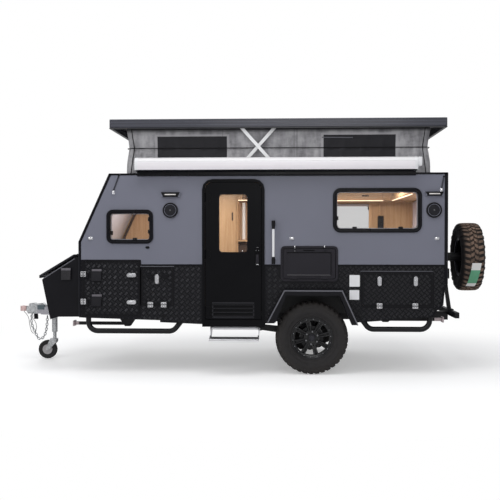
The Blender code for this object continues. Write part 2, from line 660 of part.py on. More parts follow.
def window(name, low, high, radius, side):
    """A moulded rim on the wall with the pane set back in it."""
    face = side * (HALF_WIDTH + SEAT)
    rim = prism(rounded(low, high, radius), "Y", face, face + side * PROUD)
    neck_size = inset(low, high, RIM_LIP + SEAT)
    neck = prism(rounded(*neck_size, radius - RIM_LIP), "Y", face + side * 0.004, side * (HALF_WIDTH - 0.02))
    clear = rounded(*inset(low, high, 0.042), radius - 0.03)
    recess = prism(clear, "Y", face + side * 0.02, side * (HALF_WIDTH - 0.004))
    piece(name, "glass_tint", [rim, neck], [recess])


def entry_door():
    """Frame in the doorway, and the leaf with its window, vent and handle."""
    face = -(HALF_WIDTH + SEAT)
    flange = prism(door_outline(0.0, DOOR[0][1]), "Y", face, face - PROUD)
    neck = prism(door_outline(RIM_LIP + SEAT, DOOR_SILL_Z + SEAT), "Y", face - 0.004, -(HALF_WIDTH - WALL))
    opening = prism(door_outline(0.03, DOOR_SILL_Z + 0.018), "Y", -1.2, -0.9)
    piece("door_frame", "satin_black", [flange, neck], [opening])

    leaf_face = -(HALF_WIDTH + 0.010)
    leaf = prism(door_outline(0.03 + CLEAR, DOOR_SILL_Z + 0.018 + CLEAR), "Y", leaf_face, leaf_face + 0.034)
    pane_low, pane_high = (-0.22, 1.343), (0.088, 1.974)
    glass_hole = prism(rounded(pane_low, pane_high, 0.035), "Y", -1.2, -0.9)
    handle_plate = box((0.17, leaf_face - 0.008, 1.185), (0.228, leaf_face + 0.004, 1.42))
    grip = box((0.188, leaf_face - 0.03, 1.215), (0.21, leaf_face - 0.004, 1.39), 0.004)
    louvres = []
    for number in range(4):
        z = 0.635 + number * 0.042
        louvres.append(prism([(leaf_face + 0.004, z), (leaf_face - 0.012, z), (leaf_face + 0.004, z + 0.034)],
                             "X", -0.299, 0.165))
    knuckles = []
    for z in (0.70, 1.32, 1.94):
        knuckles.append(rod((*DOOR_HINGE, z - 0.05), (*DOOR_HINGE, z + 0.05), 0.008, 8))
        knuckles.append(box((DOOR_HINGE[0], leaf_face - 0.005, z - 0.045),
                            (DOOR_HINGE[0] + 0.06, leaf_face + 0.004, z + 0.045)))
    shapes = [leaf, handle_plate, grip, *louvres, *knuckles]
    piece("entry_door", "satin_black", shapes, [glass_hole], pivot=(*DOOR_HINGE, 1.0))
    glass = prism(rounded(*inset(pane_low, pane_high, SEAT), 0.035), "Y", leaf_face + 0.010, leaf_face + 0.018)
    piece("door_glass", "glass_tint", [glass], pivot=(*DOOR_HINGE, 1.0))


# X and Y of the entry door's hinge line, just outside the leaf's front edge
DOOR_HINGE = (DOOR[0][0] + 0.032, -(HALF_WIDTH + 0.022))


def hatch(name, low, high, side, hinged):
    """A flush hatch: leaf, hinge knuckles on its hinged edge and latches on the other."""
    outer = side * (HALF_WIDTH + 0.006)
    inner = side * (HALF_WIDTH - 0.026)
    line_y = side * (HALF_WIDTH + HINGE_OUT)
    leaf = prism(rounded(low, high, HATCH_RADIUS), "Y", inner, outer)
    shapes = [leaf]
    along = ((low[0], high[0]), (low[1], high[1]))[hinged == "front"]
    span = along[1] - along[0]
    for share in (0.25, 0.75):
        middle = along[0] + span * share
        if hinged == "front":
            ends = [(low[0] - 0.004, line_y, middle + d) for d in (-0.035, 0.035)]
            strap = ((low[0] - 0.004, middle - 0.03), (low[0] + 0.05, middle + 0.03))
            lock = ((high[0] - 0.115, middle - 0.022), (high[0] - 0.035, middle + 0.022))
        else:
            ends = [(middle + d, line_y, low[1] - 0.004) for d in (-0.035, 0.035)]
            strap = ((middle - 0.03, low[1] - 0.004), (middle + 0.03, low[1] + 0.03))
            lock = ((middle - 0.03, high[1] - 0.10), (middle + 0.03, high[1] - 0.055))
        shapes.append(rod(*ends, 0.008, 8))
        for (x0, z0), (x1, z1), depth in ((*strap, HINGE_OUT + 0.004), (*lock, 0.02)):
            ys = sorted((side * (HALF_WIDTH + 0.001), side * (HALF_WIDTH + depth)))
            shapes.append(box((x0, ys[0], z0), (x1, ys[1], z1)))
    if hinged == "front":
        for z in (0.81, 1.089):
            hood = [(line, drop) for line, drop in ((0.0, 0.065), (0.0, -0.065), (0.03, -0.065), (0.008, 0.065))]
            outline = [(side * (HALF_WIDTH + 0.002 + out), z + drop) for out, drop in hood]
            shapes.append(prism(outline, "X", -1.63, -1.525))
    hinge = (low[0] - 0.004, line_y, low[1]) if hinged == "front" else (low[0], line_y, low[1] - 0.004)
    piece(name, "checker_black", shapes, pivot=hinge)


def table():
    """A fold-down table: a shallow tray in the wall with the leaf closing it."""
    low, high, radius = TABLE
    face = -(HALF_WIDTH + SEAT)
    flange = prism(rounded(low, high, radius), "Y", face, face - 0.010)
    tray = prism(rounded(*inset(low, high, RIM_LIP + SEAT), radius - RIM_LIP), "Y", face - 0.004, face + 0.07)
    hollow = prism(rounded(*inset(low, high, 0.024), radius - 0.02), "Y", face - 0.05, face + 0.06)
    piece("table_frame", "satin_black", [flange, tray], [hollow])

    leaf_low, leaf_high = inset(low, high, 0.024 + CLEAR)
    outer = -(HALF_WIDTH + 0.012)
    leaf = prism(rounded(leaf_low, leaf_high, radius - 0.025), "Y", outer, outer + 0.024)
    raised = prism(rounded((0.526, 1.101), (0.997, 1.334), 0.02), "Y", outer - 0.006, outer + 0.004)
    line_y, line_z = outer - 0.009, leaf_low[1] + 0.002
    shapes = [leaf, raised]
    for x in (0.60, 0.93):
        shapes.append(rod((x - 0.04, line_y, line_z), (x + 0.04, line_y, line_z), 0.007, 10))
        shapes.append(box((x - 0.035, line_y, line_z), (x + 0.035, outer + 0.003, line_z + 0.03)))
        shapes.append(rod((x, outer + 0.004, 1.372), (x, outer - 0.022, 1.372), 0.012, 10))
    piece("table_leaf", "satin_black", shapes, pivot=(0.60, line_y, line_z))


def awning_cassette():
    """The rolled awning's housing on its wall rail, above the wall's top edge."""
    profile = [(-1.052, 2.223), (-1.052, 2.365), (-1.10, 2.372), (-1.165, 2.36), (-1.195, 2.325), (-1.195, 2.255),
               (-1.165, 2.226)]
    case = prism(profile, "X", -1.128, 1.961)
    rail = prism([(-1.0503, 2.178), (-1.0503, 2.24), (-1.10, 2.24), (-1.10, 2.205), (-1.06, 2.178)], "X", -1.12, 1.94)
    piece("awning_cassette", "awning_white", [case, rail])


def grab_handle():
    """The rail beside the door: two feet on the wall and the bar between them."""
    x, low, high = 0.374, 1.216, 1.687
    shapes = [rod((x, -1.112, low + 0.01), (x, -1.112, high - 0.01), 0.014)]
    for z in (low, high - 0.07):
        shapes.append(box((x - 0.022, -1.124, z), (x + 0.022, -(HALF_WIDTH + SEAT), z + 0.07), 0.006))
    piece("grab_handle", "step_metal", shapes)


def entry_step():
    """A pull-out step: a bar under the sill, two side arms and the tread."""
    bar = box((-0.326, -0.99, 0.485), (0.224, -0.955, 0.503))
    tread = box((-0.324, -1.21, 0.386), (0.215, -0.97, 0.404), 0.003)
    arms = []
    for x in STEP_RAILS_X:
        outline = [(-1.19, 0.388), (-1.0, 0.388), (-0.86, 0.47), (-0.86, STEP_TOP_Z), (-0.99, STEP_TOP_Z), (-1.03, 0.43)]
        arms.append(prism(outline, "X", x - 0.006, x + 0.006))
    rear = box((STEP_RAILS_X[0], -0.89, 0.495), (STEP_RAILS_X[1], -0.865, 0.52))
    piece("entry_step", "step_metal", [bar, tread, *arms, rear], pivot=(-0.05, -0.98, 0.49))


def corner_leg(end, name, side):
    """A drop-down leg, stowed level under the body with its foot plate outwards."""
    pivot_x, pivot_z, foot_x, out = CORNER_LEGS[end]
    stop = foot_x - out * 0.012
    low_x, high_x = sorted((pivot_x - out * 0.016, stop))
    beam = box((low_x, side * LEG_Y - 0.0145, pivot_z - 0.018), (high_x, side * LEG_Y + 0.0145, pivot_z + 0.018))
    plate_x = sorted((foot_x, foot_x - out * 0.016))
    plate = box((plate_x[0], side * LEG_Y - 0.05, pivot_z - 0.03), (plate_x[1], side * LEG_Y + 0.05, pivot_z + 0.03))
    pin = rod((pivot_x, side * LEG_Y - 0.0185, pivot_z), (pivot_x, side * LEG_Y + 0.0185, pivot_z), 0.010, 10)
    piece(f"corner_leg_{end}_{name}", "galvanised", [beam, plate, pin], pivot=(pivot_x, side * LEG_Y, pivot_z))


# Lifter bars: where they cross, and how far their feet and heads stand to each side
LIFTER_CROSS = (0.202, 2.521)
LIFTER_FOOT = 0.25
LIFTER_HEAD = 0.19
LIFTER_FOOT_Z = 2.228
LIFTER_HEAD_Z = 2.722
# distances from the centreline of the outer and the inner bar's faces
LIFTER_PLANES = ((0.992, 0.984), (0.969, 0.961))


def lifter_bar(name, side, letter):
    """One bar of the crossed pair, from its pivot on the deck to its head under the roof."""
    along = 1 if letter == "a" else -1
    plane = LIFTER_PLANES[0] if letter == "a" else LIFTER_PLANES[1]
    foot = Vector((LIFTER_CROSS[0] + along * LIFTER_FOOT, LIFTER_FOOT_Z))
    head = Vector((LIFTER_CROSS[0] - along * LIFTER_HEAD, LIFTER_HEAD_Z))
    line = (head - foot).normalized()
    outline = []
    for centre, first in ((head, -90), (foot, 90)):
        base = math.degrees(math.atan2(line.y, line.x))
        for step in range(5):
            angle = math.radians(base + first + 180 * step / 4)
            outline.append((centre.x + 0.0175 * math.cos(angle), centre.y + 0.0175 * math.sin(angle)))
    bar = prism(outline, "Y", side * plane[0], side * plane[1])
    piece(f"lifter_{name}_{letter}", "lifter_white", [bar], pivot=(foot.x, side * plane[0], foot.y))


def canvas_skirt():
    """The tent wall between the deck and the roof, drawn in at half height by its cord."""
    bm = bmesh.new()
    rows = []
    for z, pull in ((TOP_Z + SEAT, 0.0), (2.495, 0.04), (ROOF_Z[1] - ROOF_SHEET - SEAT, 0.0)):
        for depth in (0.0, 0.012):
            low = (CANVAS_X[0] + pull + depth, -CANVAS_HALF_WIDTH + pull / 2 + depth)
            high = (CANVAS_X[1] - pull - depth, CANVAS_HALF_WIDTH - pull / 2 - depth)
            loop = rounded(low, high, 0.05 - depth, 2)
            rows.append([bm.verts.new((x, y, z)) for x, y in loop])
    low_out, low_in, mid_out, mid_in, top_out, top_in = rows
    for first, second in ((low_out, mid_out), (mid_out, top_out), (top_out, top_in), (top_in, mid_in),
                          (mid_in, low_in), (low_in, low_out)):
        for number in range(len(first)):
            after = (number + 1) % len(first)
            bm.faces.new((first[number], first[after], second[after], second[number]))
    piece("canvas_skirt", "canvas_grey", [solid(bm)])


def roof():
    """The roof tray: a deep rail all round, a top sheet and a low hatch."""
    low = (ROOF_X[0], -ROOF_HALF_WIDTH, ROOF_Z[0])
    high = (ROOF_X[1], ROOF_HALF_WIDTH, ROOF_Z[1])
    tray = box(low, high, 0.012)
    hollow = box((low[0] + ROOF_RAIL, low[1] + ROOF_RAIL, 2.5), (high[0] - ROOF_RAIL, high[1] - ROOF_RAIL,
                                                                ROOF_Z[1] - ROOF_SHEET))
    vent = box((0.15, -0.25, ROOF_Z[1] - 0.01), (0.65, 0.25, ROOF_Z[1] + 0.04), 0.012)
    piece("roof", "roof_blue", [tray, vent], [hollow])


def inside():
    """Partition behind the boot, bed base and the joinery along the right wall."""
    top = box((FRONT_X + WALL + SEAT, -INSIDE, 1.256), (-1.06, INSIDE, 1.28))
    back = box((-1.084, -INSIDE, FLOOR_Z[1] + SEAT), (-1.06, INSIDE, 1.27))
    piece("boot_partition", "joinery_wood", [top, back])
    bed = box((1.33, -INSIDE, 1.13), (2.20, INSIDE, 1.17))
    front = box((1.33, -INSIDE, FLOOR_Z[1] + SEAT), (1.355, INSIDE, 1.15))
    piece("bed_base", "joinery_wood", [bed, front])
    cupboard = box((-0.92, 0.45, FLOOR_Z[1] + SEAT), (-0.05, 1.012, 2.17))
    bench_top = box((-0.08, 0.44, 1.27), (1.20, 1.012, 1.31))
    bench_front = box((-0.08, 0.45, FLOOR_Z[1] + SEAT), (1.20, 0.475, 1.28))
    lockers = box((-0.08, 0.72, 1.985), (1.92, 1.012, 2.17))
    rear_lockers = box((1.90, -1.012, 1.985), (2.224, 1.012, 2.17))
    piece("joinery_right", "joinery_wood", [cupboard, bench_top, bench_front, lockers, rear_lockers])


def tail_lamps():
    for name, side in SIDES:
        face = REAR_X + SEAT
        ys = sorted((side * 0.78, side * 0.98))
        lamp = box((face, ys[0], 1.06), (face + 0.03, ys[1], 1.16), 0.005)
        piece(f"tail_lamp_{name}", "lamp_red", [lamp])


chassis_frame()
coupling()
jockey_wheel_set()
for side_name, sign in SIDES:
    hub = (AXLE_X, sign * (WHEEL_FACE_Y - TYRE_HALF_WIDTH), TYRE_RADIUS)
    wheel(side_name, hub, 0 if sign < 0 else 180)
    suspension(side_name, sign)
    side_walls(side_name, sign)
    wheel_flare(side_name, sign)
    for leg_end in CORNER_LEGS:
        corner_leg(leg_end, side_name, sign)
    for bar_letter in "ab":
        lifter_bar(side_name, sign, bar_letter)
wheel("spare", SPARE_CENTRE, 90)
spare_carrier()
piece("water_tank", "tank_black", [box((-0.70, -0.42, 0.50), (0.10, 0.42, 0.6497), 0.02)])
tail_lamps()
cabin_floor()
end_walls()
front_box()
for window_name, row in WINDOWS.items():
    window(window_name, *row)
entry_door()
for hatch_name, row in HATCHES.items():
    hatch(hatch_name, *row)
table()
awning_cassette()
grab_handle()
entry_step()
canvas_skirt()
roof()
inside()
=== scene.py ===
# %% [markdown]
# # An off-road pop-top caravan
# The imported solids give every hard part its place. This lesson dresses them: it gives each node a finish,
# puts small fittings on it, and replaces the few nodes whose surface needs more than a plain solid can show:
# tyres, rims, windows, canvas, awning, cupboards, grab handle, frame and spare carrier. X runs to the rear,
# the door side faces -Y, Z is up, and all lengths are in metres.

# %% Load the frame
import json
import math

import bmesh
import bpy
from mathutils import Matrix, Vector
from mathutils.bvhtree import BVHTree

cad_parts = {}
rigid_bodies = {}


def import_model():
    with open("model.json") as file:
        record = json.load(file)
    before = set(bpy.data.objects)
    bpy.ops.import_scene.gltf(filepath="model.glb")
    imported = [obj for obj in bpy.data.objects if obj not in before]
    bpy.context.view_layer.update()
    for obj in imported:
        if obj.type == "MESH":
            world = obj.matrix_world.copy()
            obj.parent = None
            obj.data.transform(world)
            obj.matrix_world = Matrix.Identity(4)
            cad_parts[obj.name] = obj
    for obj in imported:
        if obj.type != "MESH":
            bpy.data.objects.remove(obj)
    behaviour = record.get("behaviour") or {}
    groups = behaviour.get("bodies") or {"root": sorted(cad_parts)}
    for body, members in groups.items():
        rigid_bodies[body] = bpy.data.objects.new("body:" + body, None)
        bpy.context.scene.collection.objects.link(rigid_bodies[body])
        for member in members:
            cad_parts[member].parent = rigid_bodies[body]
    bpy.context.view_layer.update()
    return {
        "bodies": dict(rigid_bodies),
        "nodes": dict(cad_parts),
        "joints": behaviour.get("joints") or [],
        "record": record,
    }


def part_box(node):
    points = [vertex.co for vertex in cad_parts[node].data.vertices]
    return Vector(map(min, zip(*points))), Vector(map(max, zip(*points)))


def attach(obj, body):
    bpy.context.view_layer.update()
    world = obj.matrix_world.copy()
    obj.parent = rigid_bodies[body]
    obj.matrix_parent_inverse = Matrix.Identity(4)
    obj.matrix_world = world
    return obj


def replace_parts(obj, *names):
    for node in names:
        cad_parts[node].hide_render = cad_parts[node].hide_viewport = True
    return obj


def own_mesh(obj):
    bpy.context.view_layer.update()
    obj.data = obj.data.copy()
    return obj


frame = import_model()
nodes = frame["nodes"]

BODY = "caravan"
SIDES = {"left": -1, "right": 1}
# the record's slots, each with the finishes of this lesson that stand in for it
SLOTS = {
    "satin_black": "strip_black plastic_black plastic_grey edge_grey frame_black chassis_paint speaker_grey"
                   " speaker_dome roof_dark vent_grey table_grey door_black line_grey arch_line",
    "checker_black": "stud_black stud_bright hood_grey hood_light box_hood",
    "step_metal": "stainless chrome nut_metal",
    "rubber": "seal_rubber spare_rubber",
    "awning_white": "white_plastic label_paper inner_frame led_warm",
    "lamp_red": "lamp_clear lamp_amber",
    "joinery_wood": "oak_level dark_pull beige_lining",
    "canvas_grey": "blind_lilac ticking",
    "roof_blue": "roof_highlight_paint",
    "galvanised": "plate_blue hub_grey",
}
SLOT_OF = {finish: slot for slot, finishes in SLOTS.items() for finish in finishes.split()}

# %% [markdown]
# A shape here is a list of solids in one mesh. Every solid starts from a bmesh operator: a cube that is
# scaled and bevelled, a cone between two points, an outline that is extruded, or a profile that is spun. One
# small class keeps them together, so a latch or a hinge reads as the few solids that it is made of.

# %% Shapes from bmesh operators
CREASE = 40  # degrees: a bevel leaves flatter edges alone


class Shape:
    """Collects solids in one mesh, then becomes a finished piece."""

    def __init__(self):
        self.bm = bmesh.new()

    def edges_of(self, verts):
        """The edges at verts, each once and in a fixed order."""
        return list(dict.fromkeys(edge for vert in verts for edge in vert.link_edges))

    def bevel(self, verts, width, segments=1, sharp=None):
        """Round the edges at verts; with sharp, only those that turn by more than that many degrees."""
        edges = self.edges_of(verts)
        if sharp is not None:
            faces = dict.fromkeys(face for vert in verts for face in vert.link_faces)
            bmesh.ops.recalc_face_normals(self.bm, faces=list(faces))
            limit = math.radians(sharp)
            edges = [e for e in edges if len(e.link_faces) == 2 and e.calc_face_angle(0.0) > limit]
        bmesh.ops.bevel(
            self.bm, geom=edges, offset=width, segments=segments, profile=0.5, affect="EDGES", material=-1
        )

    def block(self, low, high, bevel=0.0, segments=1):
        """A box between two corners."""
        verts = bmesh.ops.create_cube(self.bm, size=1.0)["verts"]
        size = Vector([abs(b - a) for a, b in zip(low, high)])
        bmesh.ops.scale(self.bm, vec=size, verts=verts)
        bmesh.ops.translate(self.bm, vec=(Vector(low) + Vector(high)) / 2, verts=verts)
        if bevel:
            self.bevel(verts, bevel, segments)
        return self

    def blocks(self, corners, bevel=0.0, segments=1):
        """Several boxes with the same bevel."""
        for low, high in corners:
            self.block(low, high, bevel, segments)
        return self

    def rod(self, start, end, radius, sides=16, tip=None, bevel=0.0):
        """A cone or bar between two points, with tip as its radius at the end."""
        start, end = Vector(start), Vector(end)
        along = end - start
        turn = along.to_track_quat("Z", "Y").to_matrix().to_4x4()
        verts = bmesh.ops.create_cone(
            self.bm, cap_ends=True, segments=sides, radius1=radius, radius2=radius if tip is None else tip,
            depth=along.length, matrix=Matrix.Translation((start + end) / 2) @ turn,
        )["verts"]
        if bevel:
            self.bevel(verts, bevel, 1, CREASE)
        return self

    def ball(self, centre, radius, sides=12, squash=(1, 1, 1)):
        """A sphere, squashed along its axes."""
        matrix = Matrix.Translation(centre) @ Matrix.Diagonal((*squash, 1))
        bmesh.ops.create_uvsphere(
            self.bm, u_segments=sides, v_segments=sides // 2, radius=radius, matrix=matrix
        )
        return self

    def outline(self, points, at, axis="Y"):
        """One flat face, drawn square to an axis."""
        return self.bm.faces.new([self.bm.verts.new(place(axis, u, v, at)) for u, v in points])

    def pull(self, faces, vector):
        """Extrude faces along a vector; the moved vertices come back."""
        pulled = bmesh.ops.extrude_face_region(self.bm, geom=faces)["geom"]
        moved = [item for item in pulled if isinstance(item, bmesh.types.BMVert)]
        bmesh.ops.translate(self.bm, vec=vector, verts=moved)
        return moved

    def prism(self, points, start, end, axis="Y", bevel=0.0, segments=1):
        """An outline extruded along an axis."""
        moved = self.pull([self.outline(points, start, axis)], place(axis, 0, 0, end - start))
        if bevel:
            self.bevel(moved, bevel, segments, CREASE)
        return self

    def ring(self, points, width, start, end, axis="Y", bevel=0.0, segments=1):
        """A frame: an outline inset by width, its middle taken out, then extruded."""
        face = self.outline(points, start, axis)
        face.normal_update()
        border = bmesh.ops.inset_region(
            self.bm, faces=[face], thickness=width, use_boundary=True, use_even_offset=True
        )["faces"]
        bmesh.ops.delete(self.bm, geom=[face], context="FACES_ONLY")
        moved = self.pull(border, place(axis, 0, 0, end - start))
        if bevel:
            self.bevel(moved, bevel, segments, CREASE)
        return self

    def spin(self, profile, centre=(0, 0, 0), steps=72, axis="Y"):
        """A closed profile of (radius, distance along the axis) turned round the axis through centre."""
        centre = Vector(centre)
        verts = [self.bm.verts.new(place(axis, radius, 0, along) + centre) for radius, along in profile]
        edges = [self.bm.edges.new(pair) for pair in zip(verts, verts[1:] + verts[:1])]
        bmesh.ops.spin(
            self.bm, geom=verts + edges, cent=centre, axis=place(axis, 0, 0, 1), angle=math.tau, steps=steps,
            use_merge=True,
        )
        return self

    def tube(self, points, radius, sides=8):
        """A round bar swept through points, its ends closed."""
        points = [Vector(point) for point in points]
        across, rings = None, []
        for number, point in enumerate(points):
            before, after = points[max(number - 1, 0)], points[min(number + 1, len(points) - 1)]
            along = (after - before).normalized()
            if across is None:
                across = along.orthogonal().normalized()
            across = (across - along * across.dot(along)).normalized()
            ring = bmesh.ops.create_circle(self.bm, segments=sides, radius=radius)["verts"]
            turn = Matrix((across, along.cross(across), along)).transposed().to_4x4()
            bmesh.ops.transform(self.bm, matrix=Matrix.Translation(point) @ turn, verts=ring)
            rings.append(ring)
        for pair in zip(rings, rings[1:]):
            edges = [e for ring in pair for e in self.edges_of(ring) if all(v in ring for v in e.verts)]
            bmesh.ops.bridge_loops(self.bm, edges=edges)
        for ring in (rings[0], rings[-1]):
            self.bm.faces.new(ring)
        return self

    def loft(self, rows, bevel, sharp):
        """A solid through rows of four corners each, its edges bevelled where they turn by more than sharp."""
        rows = [[self.bm.verts.new(corner) for corner in row] for row in rows]
        for first, second in zip(rows, rows[1:]):
            for i in range(4):
                j = (i + 1) % 4
                self.bm.faces.new((first[i], first[j], second[j], second[i]))
        for row in (rows[0], rows[-1]):
            self.bm.faces.new(row)
        self.bevel([vert for row in rows for vert in row], bevel, 1, sharp)

    def copies(self, prototype, matrices):
        """Many copies of one mesh, each placed by its matrix."""
        for matrix in matrices:
            prototype.transform(matrix)
            self.bm.from_mesh(prototype)
            prototype.transform(matrix.inverted())
        return self

    def mesh(self, name):
        """The solids as one mesh, faces out."""
        bmesh.ops.recalc_face_normals(self.bm, faces=self.bm.faces)
        mesh = bpy.data.meshes.new(name)
        self.bm.to_mesh(mesh)
        self.bm.free()
        return mesh

    def piece(self, name, finish, body=BODY, slot=None, smooth=35, matrix=None):
        """The finished object, riding on its body."""
        mesh = self.mesh(name)
        if matrix is not None:
            mesh.transform(matrix)
        return as_piece(name, mesh, finish, body, slot, smooth)


def place(axis, u, v, w):
    """A point from two outline coordinates and a distance along an axis."""
    return {"X": Vector((w, u, v)), "Y": Vector((u, w, v)), "Z": Vector((u, v, w))}[axis]


def as_piece(name, mesh, finish, body=BODY, slot=None, smooth=35):
    """A mesh made an object with its finish, smooth below an angle, riding on a body."""
    mesh.materials.clear()
    mesh.materials.append(finish)
    if smooth:
        mesh.shade_smooth()
        mesh.set_sharp_from_angle(angle=math.radians(smooth))
    piece = bpy.data.objects.new(name, mesh)
    bpy.context.scene.collection.objects.link(piece)
    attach(piece, body)
    look = finish.name.split(".")[0]  # Blender numbers a name that one of the frame's materials has already
    slot or SLOT_OF.get(look, look)
    return piece


def rounded(low, high, radius, steps=5):
    """A rectangle with round corners, as an outline."""
    points = []
    for number, (u, v) in enumerate(((high[0], high[1]), (low[0], high[1]), low, (high[0], low[1]))):
        centre_u = u + (radius if u == low[0] else -radius)
        centre_v = v + (radius if v == low[1] else -radius)
        for step in range(steps + 1):
            turn = math.radians(90 * (number + step / steps))
            points.append((centre_u + radius * math.cos(turn), centre_v + radius * math.sin(turn)))
    return points


def pad(u, v, half_u, half_v, radius, steps=5):
    """A round-cornered rectangle about its middle, as an outline."""
    return rounded((u - half_u, v - half_v), (u + half_u, v + half_v), radius, steps)


def grow(low, high, by):
    """The corners of a rectangle moved outwards by an even border."""
    return (low[0] - by, low[1] - by), (high[0] + by, high[1] + by)


# %% [markdown]
# Shader maths reads best as plain sums. A wrapped socket knows how to add, subtract and multiply itself, and
# each sign puts one Math node in the tree. A finish is a Principled shader with a few links into it, so a
# second class makes the material, gives noise and coordinates, and sets the sockets that stay constant.

# %% Shader sums and finishes
class Socket:
    """A shader socket that can stand in an expression."""

    def __init__(self, shading, socket):
        self.shading, self.socket = shading, socket

    def sum(self, operation, *others):
        sockets = dict(enumerate((self, *others)))
        return self.shading.node("ShaderNodeMath", {"operation": operation}, sockets)

    def __add__(self, other):
        return self.sum("ADD", other)

    def __mul__(self, other):
        return self.sum("MULTIPLY", other)

    def __sub__(self, other):
        return self.sum("SUBTRACT", other)

    def __rsub__(self, other):
        return (self * -1.0) + other

    def __gt__(self, other):
        return self.sum("GREATER_THAN", other)

    def __lt__(self, other):
        return self.sum("LESS_THAN", other)

    __radd__ = __add__
    __rmul__ = __mul__


class Shading:
    """A node tree of a material or of the world."""

    def __init__(self, tree):
        self.tree = tree

    def join(self, value, socket):
        """Link a socket, or write a plain value."""
        if isinstance(value, Socket):
            self.tree.links.new(value.socket, socket)
        else:
            socket.default_value = value

    def node(self, kind, settings=None, sockets=None, out=0):
        """Any node: its settings first, then what goes into its sockets; the chosen output comes back."""
        made = self.tree.nodes.new(kind)
        for name, value in (settings or {}).items():
            setattr(made, name, value)
        for name, value in (sockets or {}).items():
            self.join(value, made.inputs[name])
        return Socket(self, made.outputs[out])

    def blend(self, factor, first, second):
        """One shader where the factor is 0, the other where it is 1."""
        return self.node("ShaderNodeMixShader", sockets={0: factor, 1: first, 2: second})


COORDINATES = {"Normal": 1, "Object": 3}


class Finish(Shading):
    """A Principled material whose name is the finish's own."""

    def __init__(self, name, colour, roughness, metallic=0.0, **fixed):
        self.material = bpy.data.materials.new(name)
        self.material.use_nodes = True
        super().__init__(self.material.node_tree)
        self.shader = self.tree.nodes["Principled BSDF"]
        self.set("Base Color", (*colour, 1.0))
        self.set("Roughness", roughness)
        self.set("Metallic", metallic)
        for socket, value in fixed.items():
            self.set(socket.replace("_", " "), value)

    def set(self, socket, value):
        self.join(value, self.shader.inputs[socket])

    def where(self, kind="Object"):
        return self.node("ShaderNodeTexCoord", out=COORDINATES[kind])

    def coords(self, scale=(1, 1, 1)):
        """Coordinates of the piece, scaled."""
        return self.node("ShaderNodeMapping", sockets={"Vector": self.where(), "Scale": scale})

    def axis(self, letter, kind="Object"):
        """One coordinate of the piece or of its normal."""
        sockets = {"Vector": self.where(kind)}
        return self.node("ShaderNodeSeparateXYZ", sockets=sockets, out="XYZ".index(letter))

    def noise(self, scale, detail=3.0, roughness=0.5, stretch=(1, 1, 1)):
        return self.node("ShaderNodeTexNoise", sockets={
            "Vector": self.coords(stretch), "Scale": scale, "Detail": detail, "Roughness": roughness})

    def ramp(self, value, low, high, start=0.0, end=1.0):
        """Map low..high of a value to start..end, held beyond."""
        sockets = {"Value": value, 1: low, 2: high, 3: start, 4: end}
        return self.node("ShaderNodeMapRange", {"clamp": True}, sockets)

    def mix(self, factor, first, second):
        """One colour where the factor is 0, the other where it is 1."""
        first, second = ((*c, 1.0) if isinstance(c, tuple) and len(c) == 3 else c for c in (first, second))
        return self.node("ShaderNodeMix", {"data_type": "RGBA"}, {0: factor, 6: first, 7: second}, out=2)

    def bump(self, height, distance, strength=1.0):
        sockets = {"Height": height, "Distance": distance, "Strength": strength}
        self.set("Normal", self.node("ShaderNodeBump", sockets=sockets))


def tint(colour, share):
    """A colour made darker or lighter, at most white."""
    return tuple(min(c * share, 1.0) for c in colour)


def dress(finish, *names):
    """Give CAD nodes a finish; a name that ends with * stands for all that start so."""
    for name in names:
        for node in nodes:
            if node == name or (name.endswith("*") and node.startswith(name[:-1])):
                nodes[node].material_slots[0].material = finish

# %% [markdown]
# The body panels are painted composite: a cool grey with a very fine orange peel in the lacquer and a trace
# of road film. The inner face of the same panel is lined, so the paint turns into the lining where the
# surface faces inwards. The direction of the surface tells the two apart, which needs no second mesh.

# %% Finishes of the body
WALL_GREY = (0.158, 0.163, 0.205)
LINING = (0.55, 0.57, 0.65)
OAK_LIGHT = (0.62, 0.42, 0.24)
OAK_DARK = (0.44, 0.27, 0.14)
GRAIN_ACROSS, GRAIN_ALONG = 14.0, 0.7
MOST = (0.3, 0.7)  # between these lie most values of a noise


def oak_colour(finish, along=2):
    """Straight oak grain, drawn out along one axis."""
    stretch = [GRAIN_ACROSS] * 3
    stretch[along] = GRAIN_ALONG
    streaks = finish.noise(3.0, 5.0, 0.6, tuple(stretch))
    fine = finish.noise(22.0, 3.0, 0.6, tuple(stretch))
    grain = finish.ramp(streaks * 0.75 + fine * 0.25, 0.32, 0.68)
    return finish.mix(grain, OAK_DARK, OAK_LIGHT), grain


def body_panel(name, facing, oak_lined=False):
    """Body paint outside; lining or oak on faces that look along facing, such as +X for the front wall."""
    finish = Finish(name, WALL_GREY, 0.42, Specular_IOR_Level=0.3)
    film = finish.noise(0.9, 4.0)
    paint = finish.mix(finish.ramp(film, *MOST), tint(WALL_GREY, 0.93), tint(WALL_GREY, 1.05))
    inwards = finish.axis(facing[1], "Normal") * (-1.0 if facing[0] == "-" else 1.0) > 0.5
    lining = oak_colour(finish)[0] if oak_lined else LINING
    finish.set("Base Color", finish.mix(inwards, paint, lining))
    finish.set("Roughness", finish.ramp(film, *MOST, 0.38, 0.48))
    finish.bump(finish.noise(160.0, 2.0), 0.0004, 0.35)
    return finish.material


dress(body_panel("wall_grey", "+Y"), "wall_left")
dress(body_panel("wall_grey_right", "-Y", oak_lined=True), "wall_right")
dress(body_panel("wall_grey_front", "+X"), "wall_front")
dress(body_panel("wall_grey_rear", "-X"), "wall_rear")
